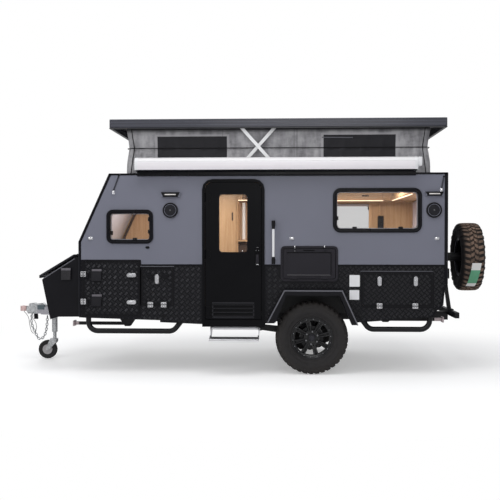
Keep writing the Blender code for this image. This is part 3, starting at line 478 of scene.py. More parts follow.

# %% [markdown]
# Everything black on the caravan is powder coat or anodised metal, and the differences between the blacks are
# what makes it read: the plate is half matt with raised ridges painted lighter, part wear and part painted
# highlight, the door is the deepest and smoothest, the table lid and the edge strips are a warmer dark grey.
# Powder coat has a leathery grain of about a millimetre, which a small bump gives.


# %% Black finishes
def powder_coat(name, colour, roughness, grain=0.0005, shine=0.16):
    finish = Finish(name, colour, roughness, Specular_IOR_Level=shine)
    patches = finish.noise(3.0)
    finish.set("Base Color", finish.mix(patches, tint(colour, 0.85), tint(colour, 1.2)))
    finish.set("Roughness", finish.ramp(patches, *MOST, roughness - 0.06, roughness + 0.06))
    finish.bump(finish.noise(420.0, 2.0), grain, 0.4)
    return finish.material


checker = powder_coat("checker_black", (0.0042, 0.0042, 0.0060), 0.42)
satin = powder_coat("satin_black", (0.0048, 0.0046, 0.0066), 0.40)
door_black = powder_coat("door_black", (0.0022, 0.0022, 0.0032), 0.38, shine=0.1)
table_grey = powder_coat("table_grey", (0.0165, 0.0152, 0.0200), 0.45)
strip_black = powder_coat("strip_black", (0.0035, 0.0035, 0.0055), 0.30, 0.0001)
edge_grey = powder_coat("edge_grey", (0.13, 0.13, 0.15), 0.35, 0.0001)
frame_black = powder_coat("frame_black", (0.0038, 0.0038, 0.0052), 0.33, 0.0002, shine=0.3)
plastic_black = powder_coat("plastic_black", (0.0055, 0.0055, 0.0068), 0.5, 0.0003)
plastic_grey = powder_coat("plastic_grey", (0.028, 0.028, 0.034), 0.45, 0.0003)


def stud_metal(name, dull, crest_wear_and_sheen, hitch_end_highlight=None):
    """Raised bars: lighter crest patches, part wear and part painted highlight; a third colour paints a
    highlight to the hitch.
    """
    finish = Finish(name, dull, 0.30, Specular_IOR_Level=0.5)
    wear_and_sheen_patches = finish.ramp(finish.noise(30.0, 4.0), 0.35, 0.7)
    crest = finish.mix(finish.ramp(finish.axis("X"), -0.9, 0.9), hitch_end_highlight, crest_wear_and_sheen) if hitch_end_highlight else crest_wear_and_sheen
    finish.set("Base Color", finish.mix(wear_and_sheen_patches, dull, crest))
    return finish.material


# the bars of the direction that lies across the light get a lighter copy of the finish: painted highlight
stud_black = stud_metal("stud_black", (0.005, 0.005, 0.007), (0.010, 0.010, 0.013))
stud_bright = stud_metal("stud_bright", (0.012, 0.012, 0.015), (0.030, 0.030, 0.034), (0.075, 0.075, 0.084))

dress(checker, "skirt_*", "boot_door_*", "small_hatch", "rear_hatch")
dress(frame_black, "suspension_*", "spare_carrier")
dress(strip_black, "top_deck")
dress(satin, "wheel_flare_*", "front_box", "front_box_lid")
dress(door_black, "door_frame", "entry_door")
dress(table_grey, "table_frame", "table_leaf")

# %% [markdown]
# Bare metals come in two kinds. The hitch, the jockey post and the corner legs are hot-dip galvanised, so
# zinc crystals a centimetre or two wide catch the light at different strengths. The latches and hinges are
# polished stainless steel with fine brushing.

# %% Metal finishes
COUPLING_HEAD_X = -2.705  # forward of this the zinc has a rosy tone
CHASSIS_ZINC_X = -2.38
LEG_ZINC_X = (-1.838, 2.165)  # the feet of the corner legs lie beyond these
FRAME_PAINT = (0.0038, 0.0038, 0.0052)
BRUSH_STRETCH = (1, 60, 1)


def galvanised_steel():
    finish = Finish("galvanised", (0.52, 0.53, 0.54), 0.42, 0.75)
    sockets = {"Vector": finish.coords(), "Scale": 70.0}
    crystals = finish.node("ShaderNodeTexVoronoi", {"feature": "F1"}, sockets, out=1)
    tone = finish.node("ShaderNodeSeparateColor", sockets={"Color": crystals})
    bloom = finish.noise(9.0, 4.0)
    shade = finish.ramp(tone * 0.5 + bloom * 0.5, 0.25, 0.75)
    metal = finish.mix(shade, (0.42, 0.43, 0.44), (0.66, 0.67, 0.68))
    finish.set("Base Color", finish.mix(finish.axis("X") < COUPLING_HEAD_X, metal, (0.80, 0.58, 0.56)))
    finish.set("Roughness", finish.ramp(shade, 0.0, 1.0, 0.34, 0.52))
    finish.bump(bloom, 0.0006, 0.4)
    return finish.material


def polished(name, colour, roughness):
    finish = Finish(name, colour, roughness, 1.0)
    lines = finish.noise(40.0, 2.0, 0.5, BRUSH_STRETCH)
    finish.set("Roughness", finish.ramp(lines, *MOST, roughness - 0.05, roughness + 0.08))
    return finish.material


def half_galvanised(name, zinc_where, zinc_colour=(0.50, 0.49, 0.53)):
    """Black frame paint, bare zinc where the mask that zinc_where makes of X is 1."""
    finish = Finish(name, FRAME_PAINT, 0.35, Specular_IOR_Level=0.3)
    bare = zinc_where(finish.axis("X"))
    bloom = finish.noise(9.0, 4.0)
    metal = finish.mix(bloom, tint(zinc_colour, 0.75), tint(zinc_colour, 1.2))
    finish.set("Base Color", finish.mix(bare, FRAME_PAINT, metal))
    finish.set("Metallic", bare * 0.6)
    finish.bump(bloom, 0.0005, 0.3)
    return finish.material


zinc = galvanised_steel()
chassis_paint = half_galvanised("chassis_paint", lambda x: x < CHASSIS_ZINC_X)
leg_paint = half_galvanised(
    "leg_paint", lambda x: (x < LEG_ZINC_X[0]) + (x > LEG_ZINC_X[1]), (0.46, 0.39, 0.40)
)
steel = polished("stainless", (0.74, 0.74, 0.76), 0.20)
chrome = polished("chrome", (0.86, 0.86, 0.88), 0.09)
aluminium = polished("step_metal", (0.66, 0.66, 0.68), 0.34)
nut_metal = polished("nut_metal", (0.30, 0.30, 0.32), 0.28)
dress(chassis_paint, "chassis_frame")
dress(zinc, "coupling", "jockey_post", "jockey_leg")
dress(leg_paint, "corner_leg_*")
dress(aluminium, "entry_step")

# %% [markdown]
# Rubber is never plain black. The road tyres are a warm dark grey that gets dustier towards the tread, and
# the unused spare has the brown bloom of a new tyre on the tops of its tread blocks only, so its grooves keep
# the dark side colour as painted shade. The distance from the axle decides the colour of a point.

# %% Rubber, rims and small coloured parts
AXLE = (0.795, 0.40)
HUB_Y = 0.9275
SPARE = (2.6595, -0.2, 1.2745)
ON_SIDE = 0.5  # a wheel whose middle lies further out than this turns about Y, the spare about X


def rubber(name, side_colour, tread_colour, centre, start, end, half_band=1.0):
    """Tyre rubber: tread_colour takes over between two radii, start and end, from the axle through centre.

    Only the band within half_band of the tread's middle takes the colour.
    """
    finish = Finish(name, side_colour, 0.72, Specular_IOR_Level=0.25)
    x, y, z = (finish.axis(letter) for letter in "XYZ")
    on_side = abs(centre[1]) > ON_SIDE
    wide = (x - centre[0]) if on_side else (y - centre[1])
    across = (y.sum("ABSOLUTE") - centre[1]) if on_side else (x - centre[0])
    high = z - centre[2]
    radius = (wide * wide + high * high).sum("SQRT")
    # on the spare, start and end lie at the block tops, so the grooves stay dark: painted shade
    tread_dust_and_groove_shade = finish.ramp(radius, start, end) * (across.sum("ABSOLUTE") < half_band)
    mottle = finish.noise(14.0, 5.0, 0.65)
    finish.set("Base Color", finish.mix(tread_dust_and_groove_shade * finish.ramp(mottle, 0.25, 0.6), side_colour, tread_colour))
    finish.set("Roughness", finish.ramp(mottle, *MOST, 0.62, 0.82))
    finish.bump(finish.noise(260.0, 2.0), 0.0006, 0.35)
    return finish.material


ROAD_WHEEL = (AXLE[0], HUB_Y, AXLE[1])
road_rubber = rubber("rubber", (0.022, 0.0205, 0.021), (0.040, 0.036, 0.034), ROAD_WHEEL, 0.30, 0.39)
bloom = (0.25, 0.168, 0.125)
spare_rubber = rubber("spare_rubber", (0.019, 0.0165, 0.0155), bloom, SPARE, 0.386, 0.3995, 0.150)
plain_rubber = powder_coat("seal_rubber", (0.008, 0.0078, 0.0085), 0.7, 0.0004)
rim_paint = powder_coat("rim_black", (0.0045, 0.0045, 0.0055), 0.24, 0.0001, shine=0.4)
dress(powder_coat("tank_black", (0.006, 0.006, 0.006), 0.6, 0.0008), "water_tank")
dress(powder_coat("jockey_rubber", (0.030, 0.029, 0.030), 0.7, 0.0004), "jockey_wheel")


def lamp_lens(name, colour):
    finish = Finish(name, colour, 0.15, Coat_Weight=0.6)
    sockets = {"Vector": finish.coords(), "Scale": 60.0}
    finish.bump(finish.node("ShaderNodeTexWave", {"bands_direction": "Z"}, sockets), 0.0015, 0.5)
    return finish.material


red_lens = lamp_lens("lamp_red", (0.45, 0.015, 0.015))
amber_lens = lamp_lens("lamp_amber", (0.75, 0.25, 0.03))
clear_lens = lamp_lens("lamp_clear", (0.75, 0.72, 0.70))
dress(red_lens, "tail_lamp_*")


def flat_paint(name, colour, roughness=0.4, grain=0.0002):
    finish = Finish(name, colour, roughness)
    finish.set("Base Color", finish.mix(finish.noise(5.0), tint(colour, 0.95), tint(colour, 1.03)))
    finish.bump(finish.noise(300.0, 2.0), grain, 0.3)
    return finish.material


white_plastic = flat_paint("white_plastic", (0.74, 0.74, 0.76))
dress(flat_paint("lifter_white", (0.80, 0.80, 0.81)), "lifter_*")


# %% Oak, lining and floor inside
def oak(name, along):
    finish = Finish(name, OAK_LIGHT, 0.5)
    colour, grain = oak_colour(finish, along)
    finish.set("Base Color", colour)
    finish.set("Roughness", finish.ramp(grain, 0.0, 1.0, 0.42, 0.56))
    finish.bump(grain, 0.0004, 0.3)
    return finish.material


oak_upright = oak("joinery_wood", 2)
oak_level = oak("oak_level", 0)
dress(oak_upright, "boot_partition", "bed_base", "joinery_right")
FLOOR_INDOORS_Z = 0.655
BOARDS = {
    "Brick Width": 0.9, "Row Height": 0.15, "Mortar Size": 0.002, "Scale": 1.0,
    "Color1": (0.27, 0.235, 0.20, 1), "Color2": (0.20, 0.175, 0.15, 1), "Mortar": (0.06, 0.05, 0.045, 1),
}


def vinyl_floor():
    """Plank-pattern vinyl on top, its boards parted by thin dark joints; the underside is sealed black."""
    finish = Finish("floor_grey", (0.25, 0.22, 0.19), 0.5)
    indoors = (finish.axis("Z", "Normal") > 0.5) * (finish.axis("Z") > FLOOR_INDOORS_Z)
    boards = finish.node("ShaderNodeTexBrick", {"offset": 0.37}, {"Vector": finish.coords(), **BOARDS})
    grain = finish.noise(6.0, 4.0, 0.6, (1, 12, 12))
    planks = finish.mix(grain * 0.35, boards, (0.12, 0.10, 0.085))
    finish.set("Base Color", finish.mix(indoors, (0.008, 0.008, 0.009), planks))
    finish.bump(grain, 0.0004, 0.3)
    return finish.material


dress(vinyl_floor(), "cabin_floor")
glow = {"Emission_Color": (1.0, 0.80, 0.58, 1.0), "Emission_Strength": 1.7}
led_glow = Finish("led_warm", (1.0, 0.75, 0.48), 0.5, **glow).material
print("finishes:", len(bpy.data.materials))

# %% [markdown]
# The photograph was taken in a white studio from just below roof height, about ten metres away, with the lens
# level and turned slightly towards the hitch. The camera repeats that. The background is white only for the
# camera and for rays that pass through glass, so it adds no light to the object: what lights the caravan is a
# plain sky, soft lamps round it and small ones under its ceiling.

# %% Camera and studio
CAMERA_PLACE = Vector((0.50, -9.72, 1.52))
FOCAL_PIXELS = 793
PHOTO_WIDTH = 500
SENSOR_WIDTH = 36.0
YAW = math.atan(35 / FOCAL_PIXELS)
PITCH = math.atan(14 / FOCAL_PIXELS)


def aimed(place_at, direction):
    """Where a camera or lamp stands and looks."""
    return Matrix.Translation(place_at) @ direction.to_track_quat("-Z", "Y").to_matrix().to_4x4()


def put(name, data):
    """An object of the stage, linked to the scene."""
    made = bpy.data.objects.new(name, data)
    bpy.context.scene.collection.objects.link(made)
    return made


camera_data = bpy.data.cameras.new("camera")
camera_data.sensor_width = SENSOR_WIDTH
camera_data.lens = SENSOR_WIDTH * FOCAL_PIXELS / PHOTO_WIDTH
camera_data.clip_end = 200.0
camera = put("camera", camera_data)
forward = Vector((-math.sin(YAW), math.cos(YAW), 0)) * math.cos(PITCH) - Vector((0, 0, math.sin(PITCH)))
camera.matrix_world = aimed(CAMERA_PLACE, forward)
bpy.context.scene.camera = camera
bpy.context.scene.view_settings.view_transform = "Standard"

world = bpy.data.worlds.new("studio")
world.use_nodes = True
bpy.context.scene.world = world
studio = Shading(world.node_tree)
sky = studio.tree.nodes["Background"]
sky.inputs["Color"].default_value = (0.97, 0.98, 1.0, 1.0)
sky.inputs["Strength"].default_value = 0.44
white = studio.node("ShaderNodeBackground", sockets={"Strength": 1.0, "Color": (1, 1, 1, 1)})
rays = studio.tree.nodes.new("ShaderNodeLightPath").outputs
seen = Socket(studio, rays["Is Camera Ray"]).sum("MAXIMUM", Socket(studio, rays["Is Transmission Ray"]))
background = studio.blend(seen, Socket(studio, sky.outputs[0]), white)
studio.join(background, studio.tree.nodes["World Output"].inputs["Surface"])


# %% Lamps
def soft_lamp(name, place_at, look_at, size, power):
    """A square area lamp."""
    data = bpy.data.lights.new(name, "AREA")
    data.shape = "SQUARE"
    data.size = size
    data.energy = power
    lamp = put(name, data)
    lamp.matrix_world = aimed(place_at, Vector(look_at) - Vector(place_at))
    return lamp


soft_lamp("overhead", (0.0, -2.5, 7.5), (0.0, 0.0, 1.0), 6.0, 260.0)
soft_lamp("camera_side", (1.0, -9.0, 4.2), (0.3, 0.0, 1.3), 4.0, 120.0)
soft_lamp("front_left", (-5.5, -6.5, 5.5), (0.2, -1.0, 1.2), 2.5, 130.0)
soft_lamp("far_side", (-3.0, 8.0, 5.0), (0.0, 0.0, 1.2), 5.0, 120.0)
CEILING_LAMP_Z = 2.14
COOL_WHITE, WARM_WHITE = (1.0, 0.97, 0.98), (1.0, 0.90, 0.80)
# X, Y, size, power and colour of the ceiling lights
for number, (x, y, size, power, colour) in enumerate((
    (-1.05, 0.1, 0.4, 11.0, COOL_WHITE),
    (-0.45, -0.2, 0.5, 13.0, WARM_WHITE),
    (0.75, -0.1, 0.6, 18.5, WARM_WHITE),
    (1.55, -0.2, 0.4, 18.0, WARM_WHITE),
)):
    soft_lamp(f"ceiling_{number}", (x, y, CEILING_LAMP_Z), (x, y, 0.0), size, power).data.color = colour

# %% The studio floor
FLOOR_REACH = 60.0
SHADOW_PATCH = (4.2, 2.6)  # half axes of the oval round the caravan in which the floor shows its shadow
FADE = (0.75, 1.5)


def studio_floor():
    """A white floor that keeps the shadow: for the camera it also glows a little, so that it stays white."""
    finish = Finish("studio_floor", (0.86, 0.86, 0.865), 0.55)
    plain = Socket(finish, finish.shader.outputs[0])
    glow = finish.node("ShaderNodeEmission", sockets={"Strength": 0.34})
    near = finish.node("ShaderNodeAddShader", sockets={0: plain, 1: glow})
    far = finish.node("ShaderNodeEmission", sockets={"Strength": 1.0})
    squeezed = finish.coords((1 / SHADOW_PATCH[0], 1 / SHADOW_PATCH[1], 0.0))
    reach = finish.node("ShaderNodeVectorMath", {"operation": "LENGTH"}, {0: squeezed}, out=1)
    spread = {"Value": reach, "From Min": FADE[0], "From Max": FADE[1]}
    fade = finish.node("ShaderNodeMapRange", {"interpolation_type": "SMOOTHSTEP"}, spread)
    for_camera = finish.blend(fade, near, far)
    path = finish.tree.nodes.new("ShaderNodeLightPath")
    surface = finish.blend(Socket(finish, path.outputs["Is Camera Ray"]), plain, for_camera)
    finish.join(surface, finish.tree.nodes["Material Output"].inputs["Surface"])
    return finish.material


floor_plane = Shape()
bmesh.ops.create_grid(floor_plane.bm, x_segments=1, y_segments=1, size=FLOOR_REACH)
floor = put("studio_floor", floor_plane.mesh("studio_floor"))
floor.data.materials.append(studio_floor())
print("camera at", tuple(round(v, 2) for v in CAMERA_PLACE), "lens", round(camera_data.lens, 1), "mm")

# %% [markdown]
# The lower walls and the lockers are covered with tread plate: groups of five short raised bars, every second
# group turned by a right angle. The bars are real solids here, because they catch the light one by one. One
# bar is modelled once and copied over each plate. A ray sent in from outside decides which copies stay, so
# the pattern stops at hatches, at the door, at the wheel arch and at every outline without any drawing of it.

# %% Tread plate
GROUP_PITCH = 0.0603
BARS_IN_GROUP = 5
BAR_SPACING = 0.0082
BAR_LENGTH, BAR_WIDTH, BAR_HEIGHT = 0.033, 0.0066, 0.0018
BAR_SINK = 0.0006
CREST_SHARE = (0.70, 0.12, 1)
BAR_MARGIN = 0.004  # plate that must show beyond each end of a bar
OUTSIDE = 3.0  # rays start this far from the centreline
OFF_FACE, IN_FRONT = 0.0006, 0.001
HALF_WIDTH = 1.05
HATCH_NAMES = ("boot_door_left", "boot_door_right", "small_hatch", "rear_hatch")
PLATE_FACE = dict.fromkeys(HATCH_NAMES, 1.056)  # the outer faces of the hatches, from the centreline


def tread_bar():
    """One raised bar along X in the plane of X and Z, its crest towards -Y: a lens with pointed ends."""
    shape = Shape()
    foot = bmesh.ops.create_circle(shape.bm, segments=6, radius=0.5, cap_ends=True)["verts"]
    bmesh.ops.scale(shape.bm, vec=(BAR_LENGTH, BAR_WIDTH, 1), verts=foot)
    crest = shape.pull(list(shape.bm.faces), (0, 0, BAR_HEIGHT + BAR_SINK))
    bmesh.ops.scale(shape.bm, vec=CREST_SHARE, verts=crest)
    bmesh.ops.translate(shape.bm, vec=(0, 0, -BAR_SINK), verts=shape.bm.verts)
    upright = Matrix.Rotation(math.radians(90), 3, "X")
    bmesh.ops.rotate(shape.bm, cent=(0, 0, 0), matrix=upright, verts=shape.bm.verts)
    return shape.mesh("tread_bar")


def surface_tree(*names):
    """A search tree over the faces of several CAD nodes."""
    bm = bmesh.new()
    for name in names:
        bm.from_mesh(nodes[name].data)
    found = BVHTree.FromBMesh(bm)
    bm.free()
    return found


def bar_places(tree, blockers, side, plane, low, high):
    """Where bars lie flat on a plate: centre and both ends of the bar must meet the plate at its face."""
    inwards = Vector((0, -side, 0))

    def on_plate(x, z):
        outside = Vector((x, side * OUTSIDE, z))
        hit = tree.ray_cast(outside, inwards)[0]
        if hit is None or abs(hit.y - plane) > OFF_FACE:
            return False
        covered = blockers.ray_cast(outside, inwards)[0] if blockers else None
        return covered is None or abs(covered.y) < abs(plane) - IN_FRONT

    half = BAR_LENGTH / 2 + BAR_MARGIN
    columns, rows = (int((high[i] - low[i]) / GROUP_PITCH) + 2 for i in (0, 1))
    for column in range(columns):
        for row in range(rows):
            for part, degrees in ((0, -45), (0.5, 45)):
                group = Vector((low[0] + (column + part) * GROUP_PITCH, low[1] + (row + part) * GROUP_PITCH))
                turn = math.radians(degrees)
                along = Vector((math.cos(turn), math.sin(turn)))
                across = Vector((-along.y, along.x))
                for number in range(BARS_IN_GROUP):
                    centre = group + across * ((number - (BARS_IN_GROUP - 1) / 2) * BAR_SPACING)
                    ends = (centre - along * half, centre, centre + along * half)
                    if all(on_plate(*spot) for spot in ends):
                        yield centre.x, centre.y, turn


def tread_plate(node, side, body=BODY, blockers=()):
    """The pattern of bars over one plate, in two pieces by their direction."""
    low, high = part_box(node)
    plane = side * PLATE_FACE.get(node, HALF_WIDTH)
    over = surface_tree(*blockers) if blockers else None
    bar = tread_bar()
    if side > 0:
        bar.transform(Matrix.Rotation(math.pi, 4, "Z"))
    rising, falling = [], []
    for x, z, turn in bar_places(surface_tree(node), over, side, plane, (low.x, low.z), (high.x, high.z)):
        group = rising if turn > 0 else falling
        group.append(Matrix.Translation((x, plane, z)) @ Matrix.Rotation(-turn, 4, "Y"))
    Shape().copies(bar, rising).piece(f"tread_{node}_rising", stud_black, body, smooth=0)
    # the falling bars take the lighter copy of the finish: painted highlight
    Shape().copies(bar, falling).piece(f"tread_{node}_falling", stud_bright, body, smooth=0)
    print(node, len(rising) + len(falling), "bars")


tread_plate("skirt_left", -1, blockers=("wheel_flare_left", "table_frame", "door_frame"))
tread_plate("skirt_right", 1, blockers=("wheel_flare_right",))
for name in HATCH_NAMES:
    tread_plate(name, 1 if name == "boot_door_right" else -1, name)

# %% [markdown]
# Aluminium corner strips close every edge of the sandwich panels. They follow the outline of the side: up the
# front, back along the rake, along the top and down the rear, with a thin lighter grey rod on the radius as a
# painted highlight. Each run is one strip with an L section: a leg on the side and a leg round the corner.

# %% Corner strips
OUTLINE_FRONT, OUTLINE_REAR = -1.777, 2.259
RAKE_TOP, TOP = -1.436, 2.205
KNEE = 1.455
STRIP_WIDTH, NARROW_STRIP, REAR_STRIP = 0.026, 0.026 * 0.7, 0.034
STRIP_THICK = 0.0035
STRIP_ROUND = 0.0012


def strip_along(shape, start, end, side, width, inwards):
    """An L strip between two points (X, Z) on the outline of one side, its side leg reaching inwards."""
    (x0, z0), (x1, z1) = start, end
    nx, nz = inwards
    face, out = side * HALF_WIDTH, STRIP_THICK
    flat = [(x0, z0), (x1, z1), (x1 + nx * width, z1 + nz * width), (x0 + nx * width, z0 + nz * width)]
    shape.prism(flat, face, face + side * out, bevel=STRIP_ROUND)
    edge = [(x0 - nx * out, z0 - nz * out), (x1 - nx * out, z1 - nz * out), (x1, z1), (x0, z0)]
    shape.prism(edge, face + side * out, face - side * width, bevel=STRIP_ROUND)


rake = Vector((RAKE_TOP - OUTLINE_FRONT, TOP - KNEE)).normalized()
REAR_CUT = [(OUTLINE_REAR, 1.0), (2.226, 0.935), (2.213, 0.775), (2.138, 0.705), (2.105, 0.638)]
for side_name, side in SIDES.items():
    strips = Shape()
    strip_along(strips, (OUTLINE_FRONT, 0.63), (OUTLINE_FRONT, KNEE + 0.004), side, STRIP_WIDTH, (1, 0))
    strip_along(strips, (OUTLINE_FRONT, KNEE), (RAKE_TOP, TOP), side, STRIP_WIDTH, (rake.y, -rake.x))
    strip_along(strips, (RAKE_TOP, TOP), (OUTLINE_REAR, TOP), side, NARROW_STRIP, (0, -1))
    strip_along(strips, (OUTLINE_REAR, TOP), REAR_CUT[0], side, REAR_STRIP, (-1, 0))
    for start, end in zip(REAR_CUT, REAR_CUT[1:]):
        run = Vector((end[0] - start[0], end[1] - start[1])).normalized()
        strip_along(strips, start, end, side, NARROW_STRIP, (run.y, -run.x))
    strips.piece(f"corner_strips_{side_name}", strip_black)
    # a lighter grey rod where the radius would catch the light: painted highlight
    crest = Shape()
    line = side * (HALF_WIDTH + STRIP_THICK * 0.6)
    front, rear = OUTLINE_FRONT + 0.001, OUTLINE_REAR - 0.001
    crest.rod((rear, line, 1.01), (rear, line, TOP), 0.0032, 6)
    crest.rod((front, line, 0.64), (front, line, KNEE), 0.0028, 6)
    crest.rod((front, line, KNEE), (RAKE_TOP, line, TOP - 0.002), 0.0028, 6)
    crest.piece(f"strip_painted_highlights_{side_name}", plastic_grey)

# %% Belt strips between the paint and the plate
BELT = (1.193, 1.209)
BOOT_BELT = (1.24, 1.258)
BOOT_END = -1.091
BELT_FRONT, BELT_REAR = -1.752, 2.225
BELT_THICK = 0.003
# the belt runs past the door and the table on their side, unbroken on the other one
BELT_RUNS = {-1: ((BOOT_END, -0.410), (0.279, 0.450), (1.079, BELT_REAR)), 1: ((BOOT_END, BELT_REAR),)}
belt = Shape()
for side, runs in BELT_RUNS.items():
    ys = sorted((side * HALF_WIDTH, side * HALF_WIDTH + side * BELT_THICK))
    belt.block((BELT_FRONT, ys[0], BOOT_BELT[0]), (BOOT_END, ys[1], BOOT_BELT[1]), 0.001)
    belt.block((BOOT_END - 0.012, ys[0], BELT[1]), (BOOT_END + 0.006, ys[1], BOOT_BELT[1]), 0.001)
    for x0, x1 in runs:
        belt.block((x0, ys[0], BELT[0]), (x1, ys[1], BELT[1]), 0.001)
belt.piece("belt_strips", strip_black)

# %% [markdown]
# Each locker has a plain folded frame round it, so a smooth black border parts the hatch from the tread
# plate. The boot door sits in a larger panel that rises above the belt line.

# %% Frames round the hatches
HATCHES = {
    "boot_door_left": ((-1.719, 0.644), (-1.108, 1.233), -1),
    "boot_door_right": ((-1.719, 0.644), (-1.108, 1.233), 1),
    "small_hatch": ((-1.069, 0.769), (-0.739, 1.155), -1),
    "rear_hatch": ((1.348, 0.761), (2.09, 1.109), -1),
}
BORDER_REACH, BORDER_WIDTH, BORDER_THICK = 0.026, 0.0185, 0.0035
SEAL_REACH, SEAL_WIDTH, SEAL_DEPTH = 0.0062, 0.0060, 0.018
HATCH_CORNER = 0.02
for name, (low, high, side) in HATCHES.items():
    face = side * HALF_WIDTH
    border = rounded(*grow(low, high, BORDER_REACH), HATCH_CORNER)
    border_ring = Shape().ring(border, BORDER_WIDTH, face, face + side * BORDER_THICK, bevel=0.001)
    border_ring.piece(f"{name}_border", satin)
    seal = rounded(*grow(low, high, SEAL_REACH), HATCH_CORNER)
    seal_ring = Shape().ring(seal, SEAL_WIDTH, face - side * SEAL_DEPTH, face + side * 0.001)
    seal_ring.piece(f"{name}_seal", plain_rubber)

# a bright folded edge runs along the upper border of the two left lockers
DRIP_EDGES = ((-1.092, -0.72, 1.186), (1.322, 2.10, 1.137))
edges = [((x0, -HALF_WIDTH - 0.005, z - 0.003), (x1, -HALF_WIDTH, z + 0.003)) for x0, x1, z in DRIP_EDGES]
Shape().blocks(edges, 0.001).piece("locker_drip_edges", edge_grey)

# %% [markdown]
# The locker fittings are stainless: a whale-tail compression latch in an oval dish, and a butt hinge of two
# leaves with two dark screws each, its knuckles black as painted shade between the leaves. Both are drawn
# upright and facing -Y at the origin, then turned and put on their hatch. The hinge leaf that is screwed to
# the frame rides on the caravan, the other one on the hatch.

# %% Latches and hinges
LATCH_HALF = (0.022, 0.0525)


def latch_shape():
    """A dished oval plate with its folding paddle and key barrel, facing -Y."""
    shape = Shape()
    half_w, half_l = LATCH_HALF
    shape.ring(pad(0, 0, half_w, half_l, half_w * 0.98, 8), 0.0065, 0.0, -0.0055, bevel=0.0015)
    shape.prism(pad(0, 0, half_w - 0.006, half_l - 0.006, half_w * 0.68, 8), 0.0, -0.0022)
    shape.prism(rounded((-0.0105, -0.040), (0.0105, 0.012), 0.0095, 6), -0.001, -0.0085, bevel=0.0018)
    shape.rod((0, -0.001, 0.028), (0, -0.0075, 0.028), 0.0085, 16, bevel=0.001)
    shape.block((-0.0012, -0.0082, 0.023), (0.0012, -0.0070, 0.033))
    return shape.mesh("latch")


def turned(x, y, z, degrees, side):
    """Place a fitting drawn facing -Y on the left or the right side, turned about Y."""
    flip = Matrix.Identity(4) if side < 0 else Matrix.Rotation(math.pi, 4, "Z")
    return Matrix.Translation((x, y, z)) @ flip @ Matrix.Rotation(math.radians(degrees), 4, "Y")


LATCH_BOSS = 0.0142  # a latch stands on a boss of its hatch, this far outside the plate
# hatch: X, Z and turn of each latch
LATCHES = {
    "boot_door_left": ((-1.188, 1.089, 90), (-1.188, 0.791, 90)),
    "boot_door_right": ((-1.188, 1.089, 90), (-1.188, 0.791, 90)),
    "small_hatch": ((-0.906, 1.046, 0),),
    "rear_hatch": ((1.526, 1.029, 0), (1.916, 1.029, 0)),
}
for name, spots in LATCHES.items():
    side = HATCHES[name][2]
    y = side * (PLATE_FACE[name] + LATCH_BOSS)
    placed = [turned(x, y, z, turn, side) for x, z, turn in spots]
    Shape().copies(latch_shape(), placed).piece(f"{name}_latches", steel, name)

HINGE_LEAF, HINGE_HEIGHT = 0.0285, 0.060
HINGE_LINE = 0.0225  # the pins lie this far outside the wall
PIN_RADIUS = 0.0062
# ends of the three knuckles along the pin, and the part of the hinge each belongs to
PIN_REACH, PIN_ENDS = 0.028, (-1.0, -0.34, 0.34, 1.0)


def hinge_leaf():
    """One hinge leaf facing -Y, its knuckle side at X = 0."""
    half = HINGE_HEIGHT / 2
    leaf = Shape().prism(rounded((0.0, -half), (HINGE_LEAF, half), 0.004, 3), 0.0, -0.0028, bevel=0.0008)
    return leaf.mesh("hinge_leaf")


def hinge_screws():
    """The two dark screw heads of a leaf."""
    shape, x = Shape(), HINGE_LEAF * 0.56
    for z in (-HINGE_HEIGHT * 0.25, HINGE_HEIGHT * 0.25):
        shape.rod((x, -0.0015, z), (x, -0.0042, z), 0.0060, 10, tip=0.0050)
    return shape.mesh("hinge_screws")


def put_hinges(name, side, spots, upright):
    """Two-leaf hinges: spots are points on the hinge line; upright where that line is."""
    fixed, moving, fixed_screws_and_shaded_pins, moving_screws_and_shaded_pins = Shape(), Shape(), Shape(), Shape()
    leaf, screws = hinge_leaf(), hinge_screws()
    line_y = side * (HALF_WIDTH + HINGE_LINE)
    for x, z in spots:
        for shape, dark, turn in ((fixed, fixed_screws_and_shaded_pins, 180), (moving, moving_screws_and_shaded_pins, 0)):
            turn += (180 if side > 0 else 0) if upright else -90
            matrix = turned(x, line_y, z, turn, side)
            shape.copies(leaf, [matrix])
            dark.copies(screws, [matrix])
        offset = Vector((0, 0, PIN_REACH) if upright else (PIN_REACH, 0, 0))
        centre = Vector((x, line_y - side * 0.001, z))
        # the knuckles take the black finish instead of steel: painted shade for the dark line between the
        # leaves
        for shape, low, high in zip((fixed_screws_and_shaded_pins, moving_screws_and_shaded_pins, fixed_screws_and_shaded_pins), PIN_ENDS, PIN_ENDS[1:]):
            shape.rod(centre + offset * low, centre + offset * high, PIN_RADIUS, 10)
    fixed.piece(f"{name}_hinges_fixed", steel)
    moving.piece(f"{name}_hinges_moving", steel, name)
    fixed_screws_and_shaded_pins.piece(f"{name}_pins_fixed", strip_black)
    moving_screws_and_shaded_pins.piece(f"{name}_pins_moving", strip_black, name)


put_hinges("boot_door_left", -1, ((-1.723, 0.797), (-1.723, 1.101)), True)
put_hinges("boot_door_right", 1, ((-1.723, 0.797), (-1.723, 1.101)), True)
put_hinges("small_hatch", -1, ((-0.978, 0.765), (-0.831, 0.765)), False)
put_hinges("rear_hatch", -1, ((1.526, 0.761), (1.911, 0.761)), False)

# %% [markdown]
# Round speakers, slim awning lamps, awning-leg brackets and the strap catches dot the painted wall. The
# speaker is a shallow dish with raised rings and spokes round a bright centre: the rings are spun, and the
# spokes are thin rods.

# %% Speakers and lamps
WALL_Y = -HALF_WIDTH
SPEAKERS = ((-0.758, 1.802), (2.111, 1.801))
SPEAKER_Y = WALL_Y - 0.020
